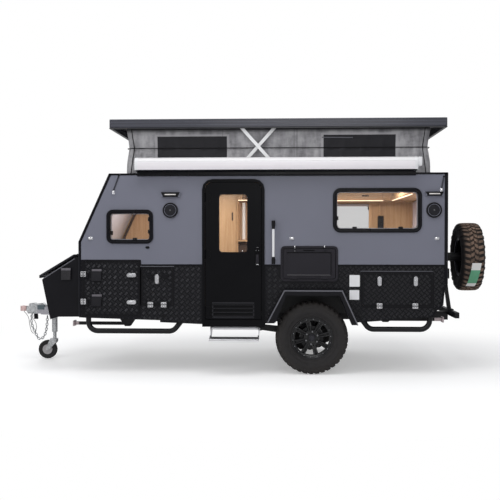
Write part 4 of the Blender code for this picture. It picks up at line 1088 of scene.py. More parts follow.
# radius and depth behind the front of the speaker
SPEAKER_RIM = [(0.066, 0.0), (0.072, -0.006), (0.082, -0.004), (0.0845, 0.012), (0.0845, 0.0195),
               (0.066, 0.0195)]
SPEAKER_DISH = [(0.0005, -0.004), (0.030, -0.0035), (0.067, 0.001), (0.067, 0.004), (0.0005, 0.004)]
DISH_RINGS = (0.022, 0.034, 0.046, 0.058)
DISH_SLOPE = 0.09
SPOKE_FROM, SPOKE_TO, DISH_SPOKES = 0.02, 0.066, 12
speaker_grey = powder_coat("speaker_grey", (0.017, 0.017, 0.021), 0.6, 0.0003)
speaker_dome = powder_coat("speaker_dome", (0.10, 0.10, 0.105), 0.4, 0.0002)
for number, (x, z) in enumerate(SPEAKERS):
    Shape().spin(SPEAKER_RIM, (x, SPEAKER_Y, z), 48).piece(f"speaker_rim_{number}", plastic_black)
    grille = Shape().spin(SPEAKER_DISH, (x, SPEAKER_Y, z), 40)
    for radius in DISH_RINGS:
        ridge = [(radius, -0.006), (radius + 0.0035, -0.0035), (radius, 0.0), (radius - 0.0035, -0.0035)]
        grille.spin(ridge, (x, SPEAKER_Y + (radius - SPOKE_FROM) * DISH_SLOPE, z), 40)
    for spoke in range(DISH_SPOKES):
        turn = math.tau * spoke / DISH_SPOKES
        out = Vector((math.cos(turn), 0, math.sin(turn)))
        start = Vector((x, SPEAKER_Y - 0.0035, z)) + out * SPOKE_FROM
        grille.rod(start, Vector((x, SPEAKER_Y + 0.001, z)) + out * SPOKE_TO, 0.0016, 5)
    grille.piece(f"speaker_grille_{number}", speaker_grey)
    dome = Shape().ball((x, SPEAKER_Y - 0.002, z), 0.010, 16, (1, 0.6, 1))
    dome.piece(f"speaker_dome_{number}", speaker_dome)

LAMPS = (((-0.855, 1.951), (-0.654, 1.996)), ((2.016, 1.957), (2.208, 1.996)))
for number, ((x0, z0), (x1, z1)) in enumerate(LAMPS):
    head, foot, middle = z1 + 0.004, z0 - 0.002, (z0 + z1) / 2
    outline = [(x0 - 0.004, head), (x0 + 0.02, foot), (x1 - 0.02, foot), (x1 + 0.004, head)]
    housing = Shape().prism(outline, WALL_Y - 0.0005, WALL_Y - 0.038, bevel=0.006, segments=2)
    housing.piece(f"awning_lamp_{number}", plastic_black)
    low, high = (x0 + 0.038, WALL_Y - 0.0405, middle - 0.006), (x1 - 0.038, WALL_Y - 0.034, middle + 0.006)
    Shape().block(low, high, 0.003, 2).piece(f"awning_lamp_lens_{number}", clear_lens)

# %% Awning-leg brackets, wall hook and blank plates
BRACKETS_X = (-1.645, 0.574, 2.145)
BRACKET_Z = 1.494
brackets = Shape()
for x in BRACKETS_X:
    brackets.prism(pad(x, BRACKET_Z, 0.026, 0.017, 0.012), WALL_Y, WALL_Y - 0.004, bevel=0.001)
    low, high = (x - 0.019, WALL_Y - 0.017, BRACKET_Z - 0.006), (x + 0.019, WALL_Y - 0.003, BRACKET_Z + 0.013)
    brackets.block(low, high, 0.004, 2)
    low, high = (x - 0.017, WALL_Y - 0.020, BRACKET_Z - 0.012), (x + 0.017, WALL_Y - 0.013, BRACKET_Z - 0.003)
    brackets.block(low, high, 0.002)
brackets.piece("awning_leg_brackets", chrome)

HOOK = (-1.012, 1.394)
hook = Shape().prism(pad(*HOOK, 0.022, 0.013, 0.012), WALL_Y, WALL_Y - 0.007, bevel=0.002)
hook.ball((HOOK[0] + 0.004, WALL_Y - 0.010, HOOK[1]), 0.010, 10, (1.2, 0.8, 0.8))
hook.piece("wall_hook", plastic_black)

PLATES = (((1.202, 0.968), (1.314, 1.095)), ((1.202, 0.826), (1.308, 0.931)))
plates = Shape()
for low, high in PLATES:
    plates.prism(rounded(low, high, 0.006), WALL_Y - 0.0002, WALL_Y - 0.0042, bevel=0.001)
plates.piece("blank_plates", white_plastic)

# %% Roof tie-down catches and their straps
# wall catch, then the upper end of the strap, as (X, Z)
TIE_DOWNS = {"front": ((-1.388, 2.003), (-1.327, 2.183)), "rear": ((2.190, 2.020), (2.214, 2.164))}
STRAP_HALF = 0.0045
for side_name, side in SIDES.items():
    for end, ((x, z), (top_x, top_z)) in TIE_DOWNS.items():
        face = side * HALF_WIDTH
        foot = rounded((x - 0.014, z - 0.026), (x + 0.014, z + 0.022), 0.008)
        catch = Shape().prism(foot, face, face + side * 0.005, bevel=0.001)
        catch.ball((x, face + side * 0.014, z + 0.002), 0.0135, 14, (1, 0.9, 1.1))
        bar_y, bar_z = face + side * 0.016, z - 0.016
        catch.rod((x - 0.011, bar_y, bar_z), (x + 0.011, bar_y, bar_z), 0.006, 10)
        catch.piece(f"tie_down_{end}_{side_name}", chrome)
        strap = Shape()
        low, high = Vector((x, face + side * 0.010, z + 0.012)), Vector((top_x, face + side * 0.006, top_z))
        for step in (-STRAP_HALF, STRAP_HALF):
            strap.rod(low + Vector((step, 0, 0)), high + Vector((step, 0, 0)), 0.0026, 8)
        strap.ball(high, 0.010, 10, (1, 0.6, 1))
        strap.piece(f"tie_down_strap_{end}_{side_name}", plain_rubber)

# %% [markdown]
# The tyres are the piece that makes an off-road trailer. A mud-terrain tread has two rows of interlocking
# blocks in the middle and long claws over both shoulders, every second claw reaching further down the
# sidewall. The carcass is one spun profile; blocks and claws are drawn once for one pitch of the tread as
# strips that lie on that profile, and are then copied round the axle.

# %% Tyres
TREAD_PITCHES = 37
TREAD_RADIUS = 0.40
# half of the carcass from the middle of the tread to the bead: radius, distance from the middle
CARCASS = [
    (0.3885, 0.0), (0.388, 0.045), (0.3862, 0.08), (0.383, 0.098), (0.3745, 0.1135), (0.36, 0.1225),
    (0.343, 0.1285), (0.318, 0.1315), (0.29, 0.13), (0.266, 0.124), (0.25, 0.117), (0.2465, 0.1195),
    (0.241, 0.1185), (0.236, 0.112), (0.2295, 0.104), (0.2295, 0.096),
]
SIDE_LIPS = ((0.3300, 0.1305), (0.2760, 0.1275))
GROOVE = 0.0125
ROOT = -0.004  # the blocks reach this far into the carcass


def on_carcass(distance):
    """Radius, place across and outward normal at a distance along the carcass from its middle."""
    gone = 0.0
    for (r0, a0), (r1, a1) in zip(CARCASS, CARCASS[1:]):
        step = math.hypot(r1 - r0, a1 - a0)
        if gone + step >= distance:
            share = (distance - gone) / step
            return r0 + (r1 - r0) * share, a0 + (a1 - a0) * share, (a1 - a0) / step, (r0 - r1) / step
        gone += step
    raise ValueError("the place lies beyond the bead")


def tread_strip(shape, stations, side):
    """A rubber block of stations: distance along the carcass, low and high end round the tyre, height."""
    rows = []
    for distance, low, high, height in stations:
        radius, across, n_radius, n_across = on_carcass(distance)
        row = []
        for length, lift in ((low, ROOT), (low, height), (high, height), (high, ROOT)):
            reach, turn = radius + n_radius * lift, length / TREAD_RADIUS
            row.append((reach * math.cos(turn), side * (across + n_across * lift), reach * math.sin(turn)))
        rows.append(row)
    shape.loft(rows, 0.0012, 50)


# stations of the pieces of one pitch; lengths are in metres round the tyre
CENTRE_BLOCK = [(0.003, -0.026, 0.01, GROOVE), (0.015, -0.026, 0.01, GROOVE), (0.019, -0.019, 0.024, GROOVE),
                (0.04, -0.01, 0.027, GROOVE)]
LONG_CLAW = [(0.045, 0.004, 0.034, GROOVE), (0.062, 0.0, 0.034, GROOVE), (0.09, -0.01, 0.026, GROOVE),
             (0.11, -0.015, 0.021, 0.0105), (0.13, -0.016, 0.018, 0.0085), (0.148, -0.012, 0.013, 0.0045)]
SHORT_CLAW = [(0.048, 0.006, 0.032, GROOVE), (0.065, 0.0, 0.031, GROOVE), (0.09, -0.009, 0.023, GROOVE),
              (0.108, -0.013, 0.018, 0.0105), (0.124, -0.012, 0.014, 0.007)]


def tread_pitch(side, claws):
    """One pitch of one side of the tread: a centre block and a claw."""
    shape = Shape()
    tread_strip(shape, CENTRE_BLOCK, side)
    tread_strip(shape, claws, side)
    return shape.mesh("tread_pitch")


def tyre(name, matrix, finish, body, node):
    """Carcass, blocks and claws, drawn with the axle along Y and then put on its hub."""
    profile = [(radius, -across) for radius, across in reversed(CARCASS)] + CARCASS[1:]
    shape = Shape().spin(profile, steps=TREAD_PITCHES * 3)
    for side, shift in ((1, 0.0), (-1, 0.5)):
        for first, claws in enumerate((LONG_CLAW, SHORT_CLAW)):
            turns = [math.tau * (number + shift) / TREAD_PITCHES for number in range(first, TREAD_PITCHES, 2)]
            shape.copies(tread_pitch(side, claws), [Matrix.Rotation(-turn, 4, "Y") for turn in turns])
    for radius, across in SIDE_LIPS:
        for side in (-1, 1):
            foot, crest = side * (across - 0.004), side * (across + 0.0016)
            shape.spin([(radius - 0.003, foot), (radius, crest), (radius + 0.003, foot)], steps=74)
    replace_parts(shape.piece(name, finish, body, smooth=40, matrix=matrix), node)


# %% [markdown]
# The rim is cast: a deep barrel, a bolted outer ring with eighteen rivets, and eight spokes that are each
# split down the middle. The disc sits near the outer face, and the gaps between the spokes are open, so the
# ground shows through them. Its parts are drawn once round the axle, facing -Y, and copied by turning.

# %% Rims
SPOKES, SPOKE_PHASE = 8, math.radians(14.5)
RIVETS, RIVET_PHASE = 18, 0.3
NUTS, NUT_PHASE = 6, math.radians(24)
RIM_RADIUS = 0.2285
# radius and distance outwards (-Y) or inwards of the profiles that are spun
BARREL = [(0.2045, -0.086), (0.2200, -0.1005), (0.2290, -0.1015), (RIM_RADIUS, -0.090), (0.2165, -0.084),
          (0.2090, -0.040), (0.2165, 0.084), (RIM_RADIUS, 0.090), (RIM_RADIUS, 0.100), (0.2180, 0.100),
          (0.2045, 0.084), (0.1990, -0.040)]
BOLTED_RING = [(0.1880, -0.076), (0.1900, -0.088), (0.2050, -0.0945), (0.2180, -0.0945), (0.2180, -0.088),
               (0.2000, -0.070)]
HUB_RING = [(0.045, -0.058), (0.062, -0.062), (0.088, -0.060), (0.092, -0.052), (0.088, -0.030)]
CAP_RING = [(0.0395, -0.062), (0.0370, -0.0745), (0.0335, -0.0745), (0.0320, -0.062)]
INNER_EDGE = [(0.2185, 0.099), (0.2185, 0.1035), (0.2255, 0.1045), (0.2270, 0.099)]


def polar(radius, angle, y):
    return Vector((radius * math.cos(angle), y, radius * math.sin(angle)))


def spoke_bar(shape, start, end, width):
    """A tapered bar that drops from the hub to the rim, narrower in front than at its back."""
    along = (end - start).normalized()
    across = along.cross(Vector((0, -1, 0))).normalized()
    rows = []
    for spot, half, depth in ((start, width * 0.55, 0.030), (end, width * 0.5, 0.022)):
        back = Vector((0, depth, 0))
        rows.append([spot + across * half * 0.55, spot - across * half * 0.55,
                     spot - across * half + back, spot + across * half + back])
    shape.loft(rows, 0.0015, 30)


def rim(name, matrix, body, node, edge_finish):
    """Rim, hub cap, nuts with rivets, and the edge that shows from inside."""
    shape = Shape().spin(BARREL).spin(BOLTED_RING)
    for number in range(SPOKES):
        middle = SPOKE_PHASE + math.tau * number / SPOKES
        for half in (-1, 1):
            start = polar(0.066, middle + half * 0.15, -0.0665)
            spoke_bar(shape, start, polar(0.196, middle + half * 0.088, -0.0890), 0.0225)
        spoke_bar(shape, polar(0.075, middle, -0.052), polar(0.190, middle, -0.070), 0.040)
    shape.spin(HUB_RING, steps=48)
    shape.rod((0, -0.056, 0), (0, -0.033, 0), 0.050, 32)
    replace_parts(shape.piece(name, rim_paint, body, matrix=matrix), node)

    cap = Shape().rod((0, -0.050, 0), (0, -0.094, 0), 0.034, 32, tip=0.031, bevel=0.003)
    cap.spin(CAP_RING, steps=32)
    cap.piece(f"{name}_cap", plastic_grey, body, "rim_black", matrix=matrix)

    studs = Shape()
    for number in range(NUTS):
        angle = NUT_PHASE + math.tau * number / NUTS
        studs.rod(polar(0.0690, angle, -0.055), polar(0.0690, angle, -0.0835), 0.0100, 6, tip=0.0086)
        studs.ball(polar(0.0690, angle, -0.0830), 0.0080, 8, (1, 0.5, 1))
    for number in range(RIVETS):
        spot = polar(0.2075, math.tau * (number + RIVET_PHASE) / RIVETS, -0.0945)
        studs.ball(spot, 0.0052, 8, (1, 0.7, 1))
    studs.piece(f"{name}_nuts", nut_metal, body, matrix=matrix)
    Shape().spin(INNER_EDGE).piece(f"{name}_inner_edge", edge_finish, body, "rim_black", matrix=matrix)


# wheel: hub centre, turn about Z that brings the disc outwards, body, rubber, edge of the rim
WHEELS = {
    "left": ((AXLE[0], -HUB_Y, AXLE[1]), 0, "wheel_left", road_rubber, rim_paint),
    "right": (ROAD_WHEEL, 180, "wheel_right", road_rubber, rim_paint),
    "spare": (SPARE, 90, BODY, spare_rubber, edge_grey),
}
WHEEL_NODES = {"left": ("tyre_left", "rim_left"), "right": ("tyre_right", "rim_right"),
               "spare": ("spare_tyre", "spare_rim")}
for name, (centre, degrees, body, finish, edge_finish) in WHEELS.items():
    tyre_node, rim_node = WHEEL_NODES[name]
    matrix = Matrix.Translation(centre) @ Matrix.Rotation(math.radians(degrees), 4, "Z")
    tyre(f"tread_tyre_{name}", matrix, finish, body, tyre_node)
    rim(f"cast_rim_{name}", matrix, body, rim_node, edge_finish)

# %% A blank paper label wrapped round the tread of the spare
LABEL_WIDTH = 0.105
LABEL_DEGREES = (-9, -57)
LABEL_LEAN = 0.35
LABEL_LIFT, LABEL_SAG, LABEL_RIPPLE = 0.0028, 0.004, 0.0008
GREEN_BAND = (0.300, 0.145)  # the coloured part of the label, below the axle


def tyre_label():
    """A strip of paper that follows the crown; it starts level with the axle and runs down the front."""
    shape = Shape()
    x, y, z = SPARE
    for vert in bmesh.ops.create_grid(shape.bm, x_segments=6, y_segments=24, size=0.5)["verts"]:
        share = vert.co.y + 0.5
        turn = math.radians(LABEL_DEGREES[0] + (LABEL_DEGREES[1] - LABEL_DEGREES[0]) * share)
        radius = TREAD_RADIUS + LABEL_LIFT - abs(vert.co.x) * LABEL_SAG + LABEL_RIPPLE * math.sin(share * 23)
        place_x = x + vert.co.x * LABEL_WIDTH + 0.006 - LABEL_LEAN * LABEL_WIDTH * (share - 0.5)
        vert.co = (place_x, y - radius * math.cos(turn), z + radius * math.sin(turn))
    bmesh.ops.solidify(shape.bm, geom=list(shape.bm.faces), thickness=0.0006)
    return shape


def label_paper():
    finish = Finish("label_paper", (0.75, 0.77, 0.74), 0.5)
    foot, head = (finish.axis("Z") < SPARE[2] - below for below in GREEN_BAND)
    green = finish.mix(finish.noise(20.0), (0.075, 0.30, 0.16), (0.14, 0.42, 0.25))
    finish.set("Base Color", finish.mix(head * (1.0 - foot), (0.78, 0.78, 0.76), green))
    return finish.material


tyre_label().piece("spare_label", label_paper())
print("wheels made")

# %% [markdown]
# Each side window is a moulded black frame with a crowned face, a faintly tinted acrylic pane set back in it,
# and a light grey inner frame with black latches, which shows through the pane. The pane lets nearly all
# light through, because the photograph shows the oak joinery behind it plainly.

# %% Windows
tinted = Finish("glass_tint", (0.055, 0.050, 0.052), 0.06, Coat_Weight=0.3, Coat_Roughness=0.03, Alpha=0.14)
pane_tint = tinted.material
dress(pane_tint, "door_glass")
inner_grey = flat_paint("inner_frame", (0.46, 0.45, 0.50), 0.45)

# window: corner radius, places of its latches as shares of the clear width and height (foot, then sides)
WINDOWS = {
    "window_front_left": (0.07, (0.62,), ((1, 0.30), (1, 0.80), (0, 0.25))),
    "window_rear_left": (0.085, (0.22, 0.80), ((0, 0.28),)),
    "window_rear_right": (0.085, (0.40, 0.78), ((1, 0.06), (1, 0.93), (0, 0.3))),
}
FRAME_WIDTH = 0.043
CROWN = 0.017
FRAME_BACK = 0.02
INNER_FRAME_Y = HALF_WIDTH - 0.0305
INNER_FRAME_WIDTH, INNER_FRAME_THICK = 0.032, 0.014


def window_set(node, radius, foot_latches, side_latches):
    """The frame in two steps, the pane, the inner frame and its latches."""
    low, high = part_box(node)
    side = -1 if low.y < 0 else 1
    low, high = (low.x, low.z), (high.x, high.z)
    face = side * (HALF_WIDTH + 0.0005)
    frame = Shape()
    frame.ring(rounded(low, high, radius, 10), FRAME_WIDTH * 0.62, face, face + side * CROWN, "Y", 0.006, 3)
    step = rounded(*grow(low, high, -FRAME_WIDTH * 0.55), radius - 0.024, 10)
    back = side * (HALF_WIDTH - FRAME_BACK)
    frame.ring(step, FRAME_WIDTH * 0.45, back, face + side * CROWN * 0.55, "Y", 0.003, 2)
    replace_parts(frame.piece(f"{node}_frame", strip_black, smooth=50), node)

    outline = rounded(*grow(low, high, -FRAME_WIDTH + 0.006), radius - 0.034, 8)
    Shape().prism(outline, face + side * 0.002, face - side * 0.002).piece(f"{node}_pane", pane_tint)

    outline = rounded(*grow(low, high, -0.019), radius - 0.015, 8)
    inner_y = side * INNER_FRAME_Y
    inner = Shape().ring(outline, INNER_FRAME_WIDTH, inner_y, inner_y - side * INNER_FRAME_THICK, "Y", 0.003)
    inner.piece(f"{node}_inner_frame", inner_grey)

    latches = Shape()
    clear_low, clear_high = grow(low, high, -0.049)
    width, height = clear_high[0] - clear_low[0], clear_high[1] - clear_low[1]
    ys = (inner_y - side * 0.020, inner_y + side * 0.006)
    for share in foot_latches:
        x, z = clear_low[0] + width * share, clear_low[1]
        latches.block((x - 0.024, ys[0], z - 0.012), (x + 0.024, ys[1], z + 0.016), 0.003)
    for right, share in side_latches:
        x, z = clear_high[0] if right else clear_low[0], clear_low[1] + height * share
        latches.block((x - 0.014, ys[0], z - 0.022), (x + 0.014, ys[1], z + 0.022), 0.003)
    latches.piece(f"{node}_latches", plastic_black)


for node, settings in WINDOWS.items():
    window_set(node, *settings)

# %% [markdown]
# Indoors, the joinery gets what shows through the glass: wardrobe doors with routed handles, a lit niche
# beside them, locker doors with recessed pulls under the ceiling, and warm light strips below the lockers. A
# pleated blind hangs over the rear wall.

# %% Joinery details
WARDROBE_FACE = 0.45
LOCKER_FACE, LOCKER_FOOT = 0.72, 1.985
REAR_LOCKER_FACE = 1.90
CABIN_FLOOR, CEILING_SIDE = 0.6903, 2.17
DOOR_THICK = 0.018
dark_pull = flat_paint("dark_pull", (0.055, 0.032, 0.020), 0.6)
beige = flat_paint("beige_lining", (0.62, 0.47, 0.34), 0.6)


def boxes(name, finish, corners, bevel=0.0):
    """A piece made of plain boxes, each from its low to its high corner."""
    return Shape().blocks(corners, bevel).piece(name, finish)


carcase = boxes("joinery_carcase", oak_upright, (
    ((-0.92, WARDROBE_FACE, CABIN_FLOOR), (-0.118, 1.012, CEILING_SIDE)),
    ((-0.08, 0.44, 1.27), (1.20, 1.012, 1.31)),
    ((-0.08, WARDROBE_FACE, CABIN_FLOOR), (1.20, 0.475, 1.28)),
    ((-0.118, LOCKER_FACE, LOCKER_FOOT), (1.92, 1.012, CEILING_SIDE)),
    ((REAR_LOCKER_FACE, -1.012, LOCKER_FOOT), (2.224, 1.012, CEILING_SIDE)),
    ((-0.118, WARDROBE_FACE, 1.984), (-0.049, LOCKER_FACE, CEILING_SIDE)),
))
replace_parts(carcase, "joinery_right")
WARDROBE_DOORS = ((-0.915, -0.528), (-0.522, -0.127))
back, face = WARDROBE_FACE - DOOR_THICK, WARDROBE_FACE - 0.0005
doors = [((x0, back, 0.72), (x1, face, 2.165)) for x0, x1 in WARDROBE_DOORS]
boxes("wardrobe_doors", oak_upright, doors, 0.0015)

SIDE_LOCKERS = ((0.00, 0.58), (0.586, 1.172), (1.178, 1.755), (1.775, 1.898))
REAR_LOCKERS = ((-0.96, -0.34), (-0.334, 0.334), (0.34, 0.70))
foot = LOCKER_FOOT + 0.012
back, face = LOCKER_FACE - DOOR_THICK, LOCKER_FACE - 0.0005
doors = [((x0, back, foot), (x1, face, CEILING_SIDE)) for x0, x1 in SIDE_LOCKERS]
back, face = REAR_LOCKER_FACE - DOOR_THICK, REAR_LOCKER_FACE - 0.0005
doors += [((back, y0, foot), (face, y1, CEILING_SIDE)) for y0, y1 in REAR_LOCKERS]
boxes("locker_doors", oak_level, doors, 0.0015)

# each pull lies in front of the face it belongs to
pulls = Shape()
for outline, face, axis in (
    (rounded((-0.184, 1.716), (-0.164, 1.824), 0.0098), WARDROBE_FACE, "Y"),
    *((pad(x, 2.045, 0.049, 0.011, 0.0105), LOCKER_FACE, "Y") for x in (0.29, 0.879, 1.548)),
    *((pad(y, 2.047, 0.049, 0.011, 0.0105), REAR_LOCKER_FACE, "X") for y in (-0.65, 0.0, 0.52)),
):
    pulls.prism(outline, face - 0.0185, face - 0.012, axis)
pulls.piece("joinery_pulls", dark_pull)

# the niche beside the wardrobe: side board with shelf, its dark foot, back and a white upright panel
NICHE = (((-0.1178, 0.4505, 1.312), (-0.102, 0.985, 1.984)), ((-0.102, 0.452, 1.448), (0.60, 0.985, 1.468)))
boxes("niche_shelf", oak_level, NICHE, 0.001)
boxes("niche_foot", dark_pull, [((-0.102, 0.500, 1.312), (0.60, 0.515, 1.415))])
boxes("niche_back", beige, [((-0.118, 0.985, 1.470), (0.70, 1.010, 1.983))])
boxes("niche_panel", white_plastic, [((-0.050, 0.50, 1.475), (-0.012, 0.52, 1.95))], 0.004)

# %% Light strips, corner posts and the blind
strip_low, strip_high = LOCKER_FOOT - 0.008, LOCKER_FOOT + 0.001
boxes("light_strips", led_glow, (
    ((0.0, LOCKER_FACE - 0.010, strip_low), (1.78, LOCKER_FACE + 0.004, strip_high)),
    ((1.890, -0.93, strip_low), (1.904, 0.70, strip_high)),
    ((-0.101, WARDROBE_FACE + 0.006, 1.974), (0.02, WARDROBE_FACE + 0.018, 1.984)),
), 0.002)
boxes("corner_posts", oak_upright, (
    ((1.625, 0.985, 1.18), (1.668, 1.018, 1.975)),
    ((1.760, 0.960, 1.80), (1.778, 1.018, 1.975)),
    ((2.190, -0.99, 1.18), (2.226, -0.955, 1.975)),
    ((2.190, 0.980, 1.18), (2.226, 1.016, 1.975)),
), 0.002)
boxes("wall_unit", plastic_black, [((1.745, 0.965, 1.45), (1.818, 1.018, 1.787))], 0.004)

PLEATS = 44
BLIND_Y = (-0.62, 0.90)
BLIND_X = (2.200, 2.186)  # crest and valley of a pleat
BLIND_Z = (1.22, 1.96)
BLIND_THICK = 0.004
pleats = [
    (BLIND_X[number % 2], BLIND_Y[0] + (BLIND_Y[1] - BLIND_Y[0]) * number / PLEATS)
    for number in range(PLEATS + 1)
]
blind = Shape().prism(pleats + [(x + BLIND_THICK, y) for x, y in reversed(pleats)], *BLIND_Z, "Z")
blind.piece("pleated_blind", flat_paint("blind_lilac", (0.50, 0.45, 0.50), 0.8), smooth=0)

corner = Shape().block((-1.700, 0.985, 1.285), (-1.672, 1.018, 1.50), 0.002)
corner.rod((-1.700, 1.000, 1.47), (-1.400, 1.000, 2.13), 0.017, 4)
corner.piece("front_corner_trim", dark_pull)

# %% [markdown]
# A mattress lies on the bed base in the rear. It is a padded piece with a slightly crowned top and round
# edges, and its long faces are cut into a fine grid.

# %% Mattress
MATTRESS_LOW, MATTRESS_HIGH = Vector((1.345, -1.005, 1.1715)), Vector((2.180, 1.005, 1.255))
MATTRESS_CROWN = 0.008
LONG_EDGE = 0.3
TOP_BAND = 0.03

ticking = flat_paint("ticking", (0.50, 0.49, 0.50), 0.85, 0.0008)
mattress = Shape().block(MATTRESS_LOW, MATTRESS_HIGH, 0.022, 3)
long_edges = [edge for edge in mattress.bm.edges if edge.calc_length() > LONG_EDGE]
bmesh.ops.subdivide_edges(mattress.bm, edges=long_edges, cuts=9, use_grid_fill=True)
middle, half = (MATTRESS_LOW + MATTRESS_HIGH) / 2, (MATTRESS_HIGH - MATTRESS_LOW) / 2
for vert in mattress.bm.verts:
    if vert.co.z > MATTRESS_HIGH.z - TOP_BAND:
        off = vert.co - middle
        edge = max(abs(off.x / half.x), abs(off.y / half.y))
        vert.co.z += MATTRESS_CROWN * (1 - min(edge, 1.0) ** 2)
mattress.piece("rear_mattress", ticking, smooth=40)
print("windows and joinery made")

# %% [markdown]
# The roof is one moulded tray. Its side shows two pressed lines and a top edge, drawn in a lighter copy of the
# roof paint as painted highlights, and a darker band along its foot as painted shade; the top has a low hatch
# and shallow ribs along it. It lifts on the crossed bars, and all of its trim rides with it.

# %% Roof trim
roof_low, roof_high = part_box("roof")
ROOF_SIDE = 1.035
ROOF_TOP = 2.806
FOOT_BAND = (roof_low.z - 0.0035, roof_low.z + 0.006)
TRIM_GAP = 0.004
# height, reach and half height of each line along the side
ROOF_LINES = ((2.7995, 0.0035, 0.004), (2.771, 0.0028, 0.003), (2.7395, 0.0028, 0.003))
RIBS_Y = (-0.84, -0.62, -0.40, 0.40, 0.62, 0.84)


def roof_paint(name, colour):
    finish = Finish(name, colour, 0.40, Coat_Weight=0.2, Coat_Roughness=0.15)
    sheen = finish.noise(1.2, 3.0, 0.5, (1, 1, 4))
    finish.set("Base Color", finish.mix(sheen, tint(colour, 0.85), tint(colour, 1.25)))
    finish.set("Roughness", finish.ramp(sheen, *MOST, 0.32, 0.48))
    finish.bump(finish.noise(150.0, 2.0), 0.0003, 0.3)
    return finish.material


# the lighter copy is painted highlight on the lines and the top edge, the darker one painted shade at the foot
roof_blue = roof_paint("roof_blue", (0.028, 0.029, 0.042))
roof_dark = roof_paint("roof_dark", (0.009, 0.009, 0.012))
roof_highlight_paint = roof_paint("roof_highlight_paint", (0.055, 0.058, 0.078))
dress(roof_blue, "roof")
front, rear = roof_low.x + TRIM_GAP, roof_high.x - TRIM_GAP
lines, foot_shade_band, ribs = Shape(), Shape(), Shape()
for side in SIDES.values():
    face = side * ROOF_SIDE
    for z, reach, tall in ROOF_LINES:
        lines.block((front, face - side * 0.002, z - tall), (rear, face + side * reach, z + tall), 0.001)
    low, high = (front, face - side * 0.030, FOOT_BAND[0]), (rear, face + side * 0.001, FOOT_BAND[1])
    foot_shade_band.block(low, high, 0.0012)
for x0, x1 in ((roof_low.x - 0.001, roof_low.x + 0.030), (roof_high.x - 0.030, roof_high.x + 0.001)):
    foot_shade_band.block((x0, -1.03, FOOT_BAND[0]), (x1, 1.03, FOOT_BAND[1]), 0.0012)
x0, x1 = roof_low.x + 0.12, roof_high.x - 0.12
for y in RIBS_Y:
    ribs.block((x0, y - 0.018, ROOF_TOP - 0.004), (x1, y + 0.018, ROOF_TOP + 0.005), 0.003, 2)
lines.piece("roof_lines", roof_highlight_paint, "roof")
foot_shade_band.piece("roof_foot_seal", roof_dark, "roof")
ribs.piece("roof_ribs", roof_blue, "roof")
hatch_lid = Shape().block((0.165, -0.235, 2.8385), (0.635, 0.235, 2.8465), 0.003, 2)
hatch_lid.piece("roof_hatch_dome", white_plastic, "roof")

# %% [markdown]
# The tent wall is acrylic-coated canvas. It is cut larger than the gap it closes and a shock cord draws it in
# at half height, so it bulges above and below the cord and wrinkles fan out from it. The outline of the CAD
# solid gives each place round the perimeter; a formula pulls it in at the cord and adds the folds. Mesh
# windows are a darker weave in the same sheet, parted from it by sewn edges.

# %% Canvas
CANVAS_FOOT, CANVAS_HEAD = 2.2056, 2.7750
CANVAS_LOW, CANVAS_HIGH = (-1.273, -0.94), (2.10, 0.94)
CANVAS_CORNER = 0.05
CORD_Z = 2.495
CORD_SHARE = (CORD_Z - CANVAS_FOOT) / (CANVAS_HEAD - CANVAS_FOOT)
CORD_PULL, CORD_LAY = 0.040, 0.014  # how far the cord draws the cloth in, and where the cord itself lies
BULGE = 0.006
STEP_ALONG = 0.030
CANVAS_ROWS = 34
HEM_ROWS = 8  # the folds begin an eighth of the height from the hems
END_FROM, END_OVER = 1.60, 0.08  # the ends are drawn in only beyond this distance from the middle


def perimeter(pull=0.0):
    """The outline of the tent wall, drawn in by pull."""
    low = (CANVAS_LOW[0] + pull, CANVAS_LOW[1] + pull / 2)
    return rounded(low, (CANVAS_HIGH[0] - pull, CANVAS_HIGH[1] - pull / 2), CANVAS_CORNER, 4)


def walk(outline, step):
    """Even places along a closed outline: point and outward normal."""
    places = []
    for start, end in zip(outline, outline[1:] + outline[:1]):
        start, end = Vector(start), Vector(end)
        run = end - start
        if run.length < 1e-6:
            continue
        pieces = max(1, round(run.length / step))
        out = Vector((run.y, -run.x)).normalized()
        places += [(start + run * (number / pieces), out) for number in range(pieces)]
    return places


def drawn_in(share):
    """How far the cord draws the cloth in at a height share, and how far it bulges there."""
    to_cord = abs(share - CORD_SHARE) / (CORD_SHARE if share < CORD_SHARE else 1 - CORD_SHARE)
    return CORD_PULL * (1 - to_cord) ** 1.15, BULGE * math.sin(math.pi * min(to_cord, 1.0))


def folds(along, height):
    """Wrinkles of the drawn-in cloth, in metres outwards, at a place along the wall and a height share."""
    near_cord = math.exp(-((height - CORD_SHARE) / 0.17) ** 2)
    below = math.exp(-((height - 0.30) / 0.22) ** 2)
    fan = math.sin(along * 31.0 + 5.0 * (height - CORD_SHARE) * math.sin(along * 2.3))
    fine = math.sin(along * 67.0 - 9.0 * height + 1.7 * math.sin(along * 5.1))
    broad = math.sin(along * 7.3 + 3.0 * height)
    drape = math.sin(along * 4.1 + 1.3) * math.sin(math.pi * min(1.0, height * 1.9))
    at_cord, lower = 0.0065 * fan + 0.0030 * fine, 0.0080 * broad + 0.0022 * fine
    return at_cord * near_cord + lower * below + 0.007 * drape


